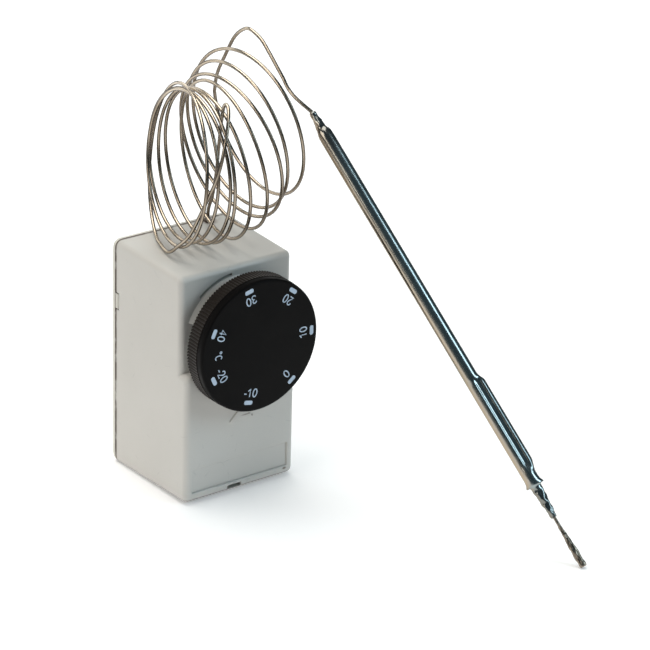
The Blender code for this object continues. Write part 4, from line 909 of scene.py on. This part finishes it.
for text, turn in SCALE:
    reading = text.replace("-", "minus_")
    bar = add_block([-v for v in BAR_HALF], BAR_HALF, BAR_ROUND, 5, 2)
    print_on_dial(bar, "scale_bar_" + reading, turn, 26.2 * MM)
    print_text(text, "scale_number_" + reading, turn, 21.8 * MM, 3.9 * MM)
print_text(DEGREE + "C", "scale_unit", 180.0, 21.6 * MM, 3.5 * MM)

# %% [markdown]
# The capillary tube is wound by hand, so its turns are neither round nor evenly spaced. The
# guide rings below are the same as in the construction's source. Between them the turns flow
# into each other, and the lead, the kinked strand and the leg to the box are routes of points.
# A curve with a round bevel follows them in finer steps than the construction does.

# %% Capillary tube
COIL_START, COIL_END = 0.25, 9.48
TUBE_RADIUS = 0.76 * MM
COIL_GUIDES = (
    (0.0378, -0.0166, 0.1563, 0.0338, 1.5, -11.7),
    (0.0270, -0.0160, 0.1503, 0.0348, 3.5, -7.5),
    (0.0213, -0.0167, 0.1472, 0.0339, 0.9, -9.3),
    (0.0165, -0.0189, 0.1433, 0.0340, 2.2, -11.4),
    (0.0106, -0.0217, 0.1415, 0.0336, -6.0, -6.9),
    (0.0020, -0.0225, 0.1399, 0.0334, -4.8, -4.4),
    (-0.0035, -0.0229, 0.1410, 0.0329, -7.3, 0.6),
    (-0.0052, -0.0203, 0.1400, 0.0333, -4.6, 0.3),
    (-0.0114, -0.0228, 0.1424, 0.0321, -8.2, 6.5),
    (-0.0116, -0.0211, 0.1413, 0.0351, -17.4, 6.3),
    (-0.0173, -0.0165, 0.1424, 0.0363, -20.1, 6.6),
)
LEAD_ROUTE = (
    (0.0360, -0.0434, 0.1669), (0.0344, -0.0396, 0.1695), (0.0337, -0.0360, 0.1722),
    (0.0336, -0.0326, 0.1756), (0.0334, -0.0284, 0.1793), (0.0334, -0.0232, 0.1835),
    (0.0334, -0.0173, 0.1878), (0.0331, -0.0123, 0.1899), (0.0329, -0.0073, 0.1904),
    (0.0326, -0.0024, 0.1878), (0.0322, 0.0014, 0.1840), (0.0321, 0.0048, 0.1789),
    (0.0322, 0.0084, 0.1732), (0.0323, 0.0120, 0.1676), (0.0329, 0.0152, 0.1619),
)
TAIL_ROUTE = (
    (-0.0192, -0.0256, 0.1061), (-0.0198, -0.0346, 0.1123), (-0.0194, -0.0421, 0.1196),
    (-0.0197, -0.0496, 0.1307), (-0.0189, -0.0541, 0.1396), (-0.0176, -0.0571, 0.1469),
    (-0.0158, -0.0586, 0.1553), (-0.0136, -0.0581, 0.1629), (-0.0098, -0.0546, 0.1702),
    (-0.0069, -0.0506, 0.1748), (-0.0060, -0.0476, 0.1761), (-0.0051, -0.0446, 0.1735),
    (-0.0022, -0.0391, 0.1651), (0.0023, -0.0311, 0.1515), (0.0083, -0.0211, 0.1358),
    (0.0131, -0.0115, 0.1201), (0.0150, -0.0060, 0.1121),
)
INNER_ROUTE = (
    (0.0165, -0.0033, 0.1060), (0.0165, -0.0033, 0.1008), (0.0174, -0.0033, 0.0994),
    (0.0206, -0.0033, 0.0966), (0.0226, -0.0045, 0.0905), (0.0229, -0.0090, 0.0750),
    (0.0229, -0.0150, 0.0580), (0.0229, -0.0200, 0.0440), (0.0230, -0.0228, 0.0340),
    (0.0229, -0.0230, 0.0285), (0.0222, -0.0230, 0.0258),
)
PORT = ((0.0208, -0.0230, 0.02425), (0.0190, -0.0230, 0.02425))
BULB_TOP = Vector((0.0400, -0.0536, 0.1568))
BULB_AIM = Vector((0.1815, -0.6464, -0.7410)).normalized()
NECK_END = BULB_TOP - BULB_AIM * 9.6 * MM
FINE = 6


def follow(points, share):
    """A point of the Catmull-Rom curve through the rows, at a share counted in rows."""
    before = [2 * p - q for p, q in zip(points[0], points[1])]
    after = [2 * p - q for p, q in zip(points[-1], points[-2])]
    i = min(int(share), len(points) - 2)
    t = share - i
    rows = [before, *points, after][i:i + 4]
    return [0.5 * (2 * b + (c - a) * t + (2 * a - 5 * b + 4 * c - d) * t * t
                   + (3 * b - a - 3 * c + d) * t ** 3) for a, b, c, d in zip(*rows)]


def coil_point(turn):
    """A place on the coil. A guide ring has a centre, a radius, a yaw and a lean in degrees."""
    x, y, z, radius, yaw, lean = follow(COIL_GUIDES, turn)
    yaw, lean = math.radians(yaw), math.radians(lean)
    across = Vector((-math.sin(yaw), math.cos(yaw), 0))
    upward = Vector((math.cos(yaw) * math.sin(lean), math.sin(yaw) * math.sin(lean),
                     math.cos(lean)))
    angle = 2 * math.pi * turn
    return Vector((x, y, z)) + radius * (math.sin(angle) * across + math.cos(angle) * upward)


def route(points):
    count = (len(points) - 1) * FINE
    return [Vector(follow(points, i / FINE)) for i in range(count + 1)]


def tube_points():
    length = COIL_END - COIL_START
    steps = round(length * 11 * FINE)
    lead = route([NECK_END + BULB_AIM * 3.2 * MM, NECK_END, *LEAD_ROUTE, coil_point(COIL_START)])
    coil = [coil_point(COIL_START + length * i / steps) for i in range(1, steps)]
    return lead + coil + route([coil_point(COIL_END), *TAIL_ROUTE, *INNER_ROUTE, *PORT])


def store_directions(piece, points):
    """Writes the wire's own direction on its mesh points, where its finish reads it."""
    tree = KDTree(len(points))
    for i, place in enumerate(points):
        tree.insert(place, i)
    tree.balance()
    directions = piece.data.attributes.new("wire_direction", "FLOAT_VECTOR", "POINT")
    for vert, item in zip(piece.data.vertices, directions.data):
        i = tree.find(vert.co)[1]
        item.vector = (points[min(i + 1, len(points) - 1)] - points[max(i - 1, 0)]).normalized()


def paint_wire_side_reflection(material, low, high, color):
    """Painted reflection on both sides of a wire, darkened as if they mirrored the dark room: the
    middle of what is seen stays bright, though less so where the wire is steep. It reads the
    direction to the eye, so it slides when the camera moves and the exported model loses it."""
    tree = material.node_tree
    direction = add_node(tree, "Attribute", attribute_name="wire_direction").outputs["Vector"]
    eye = surface(tree, "Incoming")
    along = vector_node(tree, "DOT_PRODUCT", eye, direction)
    rest = math_node(tree, "SUBTRACT", 1.0, times(tree, along, along))
    best = math_node(tree, "SQRT", math_node(tree, "MAXIMUM", rest, 0.02))
    facing = vector_node(tree, "DOT_PRODUCT", eye, surface(tree, "Normal"))
    facing = math_node(tree, "DIVIDE", facing, best)
    slope = math_node(tree, "ABSOLUTE", axis_of(tree, direction, "Z"))
    steep = times(tree, spread(tree, slope, 0.25, 0.85), 0.26)
    facing = math_node(tree, "SUBTRACT", facing, steep)
    tint(material, spread(tree, facing, high, low), color)


def worn_metal(material, size, amount, color):
    """Darker stains that follow the metal's surface, as age and handling leave them."""
    tree = material.node_tree
    stains = spread(tree, noise_node(tree, size, 4.0, 0.65), 0.48, 0.68)
    tint(material, stains, color, amount)


tube_metal = new_finish("tube_metal", (0.76, 0.66, 0.53), (0.54, 0.44, 0.33), (0.32, 0.24, 0.17),
                        clouds=(0.014, 0.6), specks=(0.0012, 0.3), gloss=(0.16, 0.28, 0.004),
                        grain=0.0006, bump=(0.15, 0.00003), metallic=1.0)
worn_metal(tube_metal, 0.02, 0.3, (0.36, 0.27, 0.19))
# Painted reflection: the wire's sides are darkened, as if they mirrored the dark room
paint_wire_side_reflection(tube_metal, 0.5, 0.97, (0.070, 0.047, 0.033))
tube_route = tube_points()
capillary = draw_paths("capillary", [tube_route], TUBE_RADIUS, 8)
store_directions(capillary, tube_route)
close_piece(capillary, "capillary", "housing", ["capillary_tube"], tube_metal, 60)
print("tube:", len(capillary.data.polygons), "faces")

# %% [markdown]
# The sensing bulb is a polished tube. Its upper end is drawn down to a neck that grips the
# capillary, and near its lower end a long groove is pressed into it. Behind that the tube's end
# is squeezed flat around a crimped stub, from which the thin filling tail comes out. The outline
# is pulled out ring by ring from a circle, and the groove and the folds of the crimp are then
# worked into the rings.

# %% Sensing bulb
BULB_RADIUS = 3.25
GROOVE_FROM, GROOVE_TO, GROOVE_TURN = 119.0, 167.0, math.radians(45)
GROOVE_DEPTH, GROOVE_MIDDLE, GROOVE_HALF = 0.85, 1.6, 1.3
SIDES = 72


def bulb_place():
    """Local Z runs down the bulb from its shoulder, local Y faces out of the groove."""
    level = Vector((0, 0, 1)).cross(BULB_AIM).normalized()
    place = Matrix((level, BULB_AIM.cross(level), BULB_AIM)).transposed().to_4x4()
    place.translation = BULB_TOP
    return place @ Matrix.Rotation(GROOVE_TURN, 4, "Z")


def pull_rings(rings):
    """Extrudes a circle ring by ring. A ring is a height, half its width and, where it isn't
    round, half its thickness, in millimetres."""
    rings = [(ring[0], ring[1], ring[-1]) for ring in rings]
    clear_selection()
    bpy.ops.mesh.primitive_circle_add(vertices=SIDES, radius=1.0, fill_type="NGON")
    piece = bpy.context.object
    open_piece(piece)
    select_all()
    height, wide, thin = rings[0]
    resize_selected(wide * MM, thin * MM, 1)
    bpy.ops.transform.translate(value=(0, 0, height * MM))
    for last, ring in zip(rings, rings[1:]):
        extrude_selected(z=(ring[0] - last[0]) * MM)
        resize_selected(ring[1] / last[1], ring[2] / last[2], 1)
    mend_normals()
    return piece


def between(value, low, high):
    """A smooth step from 0 at low to 1 at high."""
    share = min(1.0, max(0.0, (value - low) / (high - low)))
    return share * share * (3 - 2 * share)


def reshape(piece, low, high, move):
    """Moves the points of the rings between two heights, in millimetres."""
    mesh = bmesh.from_edit_mesh(piece.data)
    for vert in mesh.verts:
        x, y, s = (value / MM for value in vert.co)
        if low < s < high:
            x, y = move(x, y, s)
            vert.co = (x * MM, y * MM, s * MM)
    bmesh.update_edit_mesh(piece.data)


def press_groove(piece):
    def move(x, y, s):
        dent = between(s, GROOVE_FROM, GROOVE_FROM + 4.5) * between(s, GROOVE_TO, GROOVE_TO - 6.5)
        x = x * (1 + 0.22 * dent) + 0.7 * dent
        y *= 1 - 0.11 * dent
        if y > 0:
            y -= GROOVE_DEPTH * dent * math.exp(-abs((x - GROOVE_MIDDLE) / GROOVE_HALF) ** 4)
        return x, y

    reshape(piece, GROOVE_FROM, GROOVE_TO, move)


def fold(piece, low, high, depth, phase):
    """Works uneven folds into the rings between two heights."""
    def move(x, y, s):
        turn = math.atan2(y, x)
        rise = min(between(s, low, low + 1.0), between(s, high, high - 1.0))
        wave = (math.sin(3 * turn + 0.9 * s + phase)
                + 0.6 * math.sin(5 * turn - 1.3 * s + 2 * phase)
                + 0.5 * math.sin(2 * turn + 2.1 * s)) * depth * rise
        share = 1 + wave / max(0.5, math.hypot(x, y))
        return x * share, y * share

    reshape(piece, low, high, move)


def bulb_rings():
    # The collar and the neck
    rings = [(-9.6, 0.85), (-9.75, 1.0), (-9.7, 1.2), (-9.4, 1.4), (-8.9, 1.5), (-8.4, 1.45),
             (-7.9, 1.42)]
    rings += [(-7.9 + 0.6 * i, 1.42 + 0.085 * i) for i in range(1, 9)]
    # The shoulder and the plain tube
    rings += [(-2.7, 2.16), (-2.2, 2.14), (-1.7, 2.3), (-1.1, 2.56), (-0.4, 2.84), (0.4, 3.04),
              (1.3, 3.16), (2.4, 3.22), (3.8, BULB_RADIUS)]
    rings += [(s, BULB_RADIUS) for s in (30.0, 60.0, 90.0, 112.0, 117.0)]
    # The two ends of the groove
    step = 0.5
    for low, high in ((GROOVE_FROM, GROOVE_FROM + 5.0), (GROOVE_TO - 7.0, GROOVE_TO)):
        rings += [(low + step * i, BULB_RADIUS) for i in range(round((high - low) / step) + 1)]
    # The end rim and the crimp
    rings += [(168.4, 3.26, 3.2), (169.6, 3.4, 3.1), (170.5, 3.75, 2.9), (171.1, 4.05, 2.75),
              (171.5, 4.1, 2.6), (171.7, 3.75, 2.4), (171.6, 3.1, 2.2), (171.9, 2.6, 2.05)]
    rings += [(171.9 + 0.5 * i, 2.5 - 0.040 * i, 1.95 - 0.026 * i) for i in range(1, 30)]
    return rings + [(186.8, 1.2, 1.1), (186.95, 0.95, 0.85)]


def stain_bulb_and_paint_reflections(material):
    """Stains, a painted reflection of the warm paper on one side, painted dark reflections at the
    edges, and darker metal at the shoulder and the crimp.
    """
    tree = material.node_tree
    worn_metal(material, 0.004, 0.25, (0.15, 0.135, 0.115))
    # Painted reflection of the warm paper on the side that faces left, back and a little down
    paint_side_reflection(material, (-0.795, 0.606, -0.2), 0.0, 0.7, (0.46, 0.37, 0.27))
    # Painted dark reflection where the bulb turns away from the eye
    paint_edge_reflection(material, 0.55, 0.9, (0.17, 0.14, 0.105))
    shoulder = spot(tree, BULB_TOP + BULB_AIM * 2 * MM, (0.014, 0.014, 0.014), 0.3)
    tint(material, shoulder, (0.14, 0.11, 0.085), 0.45)
    tint(material, along_axis(tree, "Z", 0.0305, 0.0275), (0.13, 0.14, 0.135), 0.6)


bulb_metal = new_finish("bulb_metal", (0.33, 0.37, 0.37), (0.27, 0.29, 0.285), (0.16, 0.15, 0.13),
                        clouds=(0.02, 0.5), specks=(0.0006, 0.12), gloss=(0.17, 0.26, 0.006),
                        grain=0.0015, bump=(0.06, 0.00002), metallic=1.0, coarse_size=0.008)
stain_bulb_and_paint_reflections(bulb_metal)
bulb = pull_rings(bulb_rings())
press_groove(bulb)
fold(bulb, -9.3, 1.0, 0.09, 0.6)
fold(bulb, 172.4, 187.2, 0.11, 0.0)
leave_edit()
bulb.matrix_world = bulb_place()
close_piece(bulb, "bulb", "housing", ["sensing_bulb"], bulb_metal, 40)
print("bulb:", len(bulb.data.polygons), "faces")

# %% [markdown]
# The filling tail is pinched flat by pliers, more and more towards its tip, where the pinch has
# left a small bead of solder. The tip is what the bulb stands on.

# %% Filling tail
TAIL_START, TAIL_RADIUS, TAIL_STEPS = 184.5, 0.7, 40
TIP_DROP = math.sqrt(1 - BULB_AIM.z ** 2) * 1.2
TAIL_END = (BULB_TOP.z / MM - TIP_DROP) / -BULB_AIM.z

tail_metal = new_finish("tail_metal", (0.30, 0.25, 0.20), (0.17, 0.13, 0.10), (0.09, 0.07, 0.055),
                        clouds=(0.004, 0.7), specks=(0.0005, 0.4), gloss=(0.2, 0.38, 0.003),
                        grain=0.0005, bump=(0.3, 0.00004), metallic=1.0)


def tail_rings():
    rings = [(TAIL_START, TAIL_RADIUS)]
    for i in range(1, TAIL_STEPS + 1):
        s = TAIL_START + (TAIL_END - 1.2 - TAIL_START) * (i / TAIL_STEPS)
        flat = between(s, 189.0, TAIL_END - 4.0)
        pinch = math.exp(-((s - TAIL_END + 3.0) / 0.9) ** 2)
        bead = math.exp(-((s - TAIL_END + 1.2) / 0.9) ** 2)
        rings.append((s, TAIL_RADIUS + 0.9 * flat - 0.25 * pinch,
                      TAIL_RADIUS + 0.2 * flat + 0.38 * bead))
    return rings + [(TAIL_END - 0.5, 1.55, 1.2), (TAIL_END - 0.15, 1.4, 1.1),
                    (TAIL_END, 1.15, 0.9)]


tail = pull_rings(tail_rings())
fold(tail, 190.0, TAIL_END - 0.6, 0.09, 1.0)
leave_edit()
tail.matrix_world = bulb_place()
close_piece(tail, "filling_tail", "housing", ["fill_tail"], tail_metal, 50)
print("tail:", len(tail.data.polygons), "faces")

# %% [markdown]
# The base plate closes the box from behind. It keeps its construction shape, with its holes and
# tabs, and gets a small round on the rim of its rear face. The rounding catches the light along
# the band that shows behind the cover.

# %% Base plate
def soften_base_plate():
    clear_selection()
    plate = frame["nodes"]["base_plate"].copy()
    plate.data = plate.data.copy()
    bpy.context.scene.collection.objects.link(plate)
    rear = max(v.co.y for v in plate.data.vertices)
    open_piece(plate)
    select_all()
    bpy.ops.mesh.remove_doubles(threshold=0.01 * MM)
    bpy.ops.mesh.dissolve_limited(angle_limit=math.radians(1))

    def on_rim(edge):
        places = [v.co for v in edge.verts]
        outside = all(max(abs(p.x) - BOX_HALF, -p.z, p.z - BOX_TOP) > -1.2 * MM for p in places)
        return outside and all(near(p.y, rear) for p in places) and edge.calc_face_angle(0) > 0.8

    print("rim edges:", pick(plate, "edges", on_rim))
    bevel_selected(0.4 * MM, 3)
    leave_edit()
    return plate


base_plate = soften_base_plate()
close_piece(base_plate, "base_plate_soft", "housing", ["base_plate"], base_plastic, 30)

# %% [markdown]
# The rest keeps its construction shape: the grommet, and the mechanism inside, of which the cable
# opening at the back shows a little. Each material slot gets a finish with its own colours, gloss
# and grain.

# %% Finishes of the other pieces
METALS = {
    # Colour, dark colour and, where they differ, the gloss's low and high and the grain
    "turned_steel": ((0.56, 0.56, 0.57), (0.42, 0.42, 0.43)),
    "bush_brass": ((0.72, 0.56, 0.28), (0.52, 0.38, 0.18)),
    "follower_brass": ((0.70, 0.55, 0.28), (0.50, 0.37, 0.17)),
    "bracket_zinc": ((0.62, 0.63, 0.64), (0.46, 0.48, 0.50), 0.28, 0.5, 0.0008),
    "screw_zinc": ((0.66, 0.66, 0.65), (0.48, 0.48, 0.46)),
    "lever_steel": ((0.58, 0.58, 0.59), (0.42, 0.42, 0.44), 0.25, 0.42),
    "capsule_stainless": ((0.62, 0.61, 0.58), (0.48, 0.46, 0.42), 0.15, 0.3),
    "spring_steel": ((0.50, 0.50, 0.52), (0.34, 0.34, 0.36)),
    "contact_brass": ((0.72, 0.57, 0.30), (0.50, 0.38, 0.19)),
}
PLASTICS = {
    "cam_nylon": ((0.74, 0.72, 0.64), (0.66, 0.63, 0.54)),
    "push_pin_ceramic": ((0.85, 0.84, 0.79), (0.78, 0.76, 0.70), 0.15, 0.3),
    "switch_phenolic": ((0.05, 0.045, 0.04), (0.03, 0.027, 0.025)),
    "plunger_red": ((0.45, 0.04, 0.03), (0.32, 0.03, 0.02), 0.25, 0.4),
    "terminal_block_grey": ((0.35, 0.35, 0.34), (0.29, 0.29, 0.28), 0.4, 0.55),
    "grommet_rubber": ((0.085, 0.055, 0.035), (0.05, 0.035, 0.025), 0.5, 0.7),
}


def plated(name, base, dark, low=0.22, high=0.4, grain=0.0005):
    return new_finish(name, base, dark, tuple(0.5 * v for v in dark), clouds=(0.008, 0.5),
                      specks=(0.0006, 0.3), gloss=(low, high, 0.003), grain=grain,
                      bump=(0.15, 0.00003), metallic=1.0)


def moulded(name, base, dark, low=0.35, high=0.5):
    return new_finish(name, base, dark, tuple(0.7 * v for v in dark), clouds=(0.01, 0.4),
                      specks=(0.0005, 0.25), gloss=(low, high, 0.005), grain=0.0004,
                      bump=(0.2, 0.00003))


SLOT_FINISHES = {"moulded_base": base_plastic}
for maker, table in ((plated, METALS), (moulded, PLASTICS)):
    for slot_name, values in table.items():
        SLOT_FINISHES[slot_name] = maker(slot_name + "_finish", *values)


def dress_nodes():
    dressed = 0
    for part in frame["record"]["subparts"]:
        node = frame["nodes"].get(part["node"])
        finish = SLOT_FINISHES.get(part["material_slot"])
        if node is not None and finish is not None:
            node.data.materials.clear()
            node.data.materials.append(finish)
            dressed += 1
    return dressed


print("dressed construction pieces:", dress_nodes())

# %% [markdown]
# The range spring is pressed between the lever and the follower. It is wound again here. Each of
# its ends has one flat turn.

# %% Range spring
SPRING_Y = -23.0 * MM
SPRING_LOW, SPRING_HIGH = 36.9 * MM, 49.6 * MM
SPRING_WIRE, SPRING_RADIUS, SPRING_TURNS = 0.6 * MM, 4.2 * MM, 5


def spring_points():
    steps = 24
    flat = 2.2 * SPRING_WIRE
    pitch = (SPRING_HIGH - SPRING_LOW - 2 * flat) / SPRING_TURNS
    points = []
    for i in range((SPRING_TURNS + 2) * steps + 1):
        turn = i / steps
        height = SPRING_LOW + (min(turn, 1) + max(turn - SPRING_TURNS - 1, 0)) * flat
        height += min(max(turn - 1, 0), SPRING_TURNS) * pitch
        angle = 2 * math.pi * turn
        points.append((SPRING_RADIUS * math.cos(angle),
                       SPRING_Y + SPRING_RADIUS * math.sin(angle), height))
    return points


spring = draw_paths("range_spring_wire", [spring_points()], SPRING_WIRE, 3)
close_piece(spring, "range_spring_wire", None, ["range_spring"], SLOT_FINISHES["spring_steel"], 50)
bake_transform(spring)
print("spring:", len(spring.data.polygons), "faces")
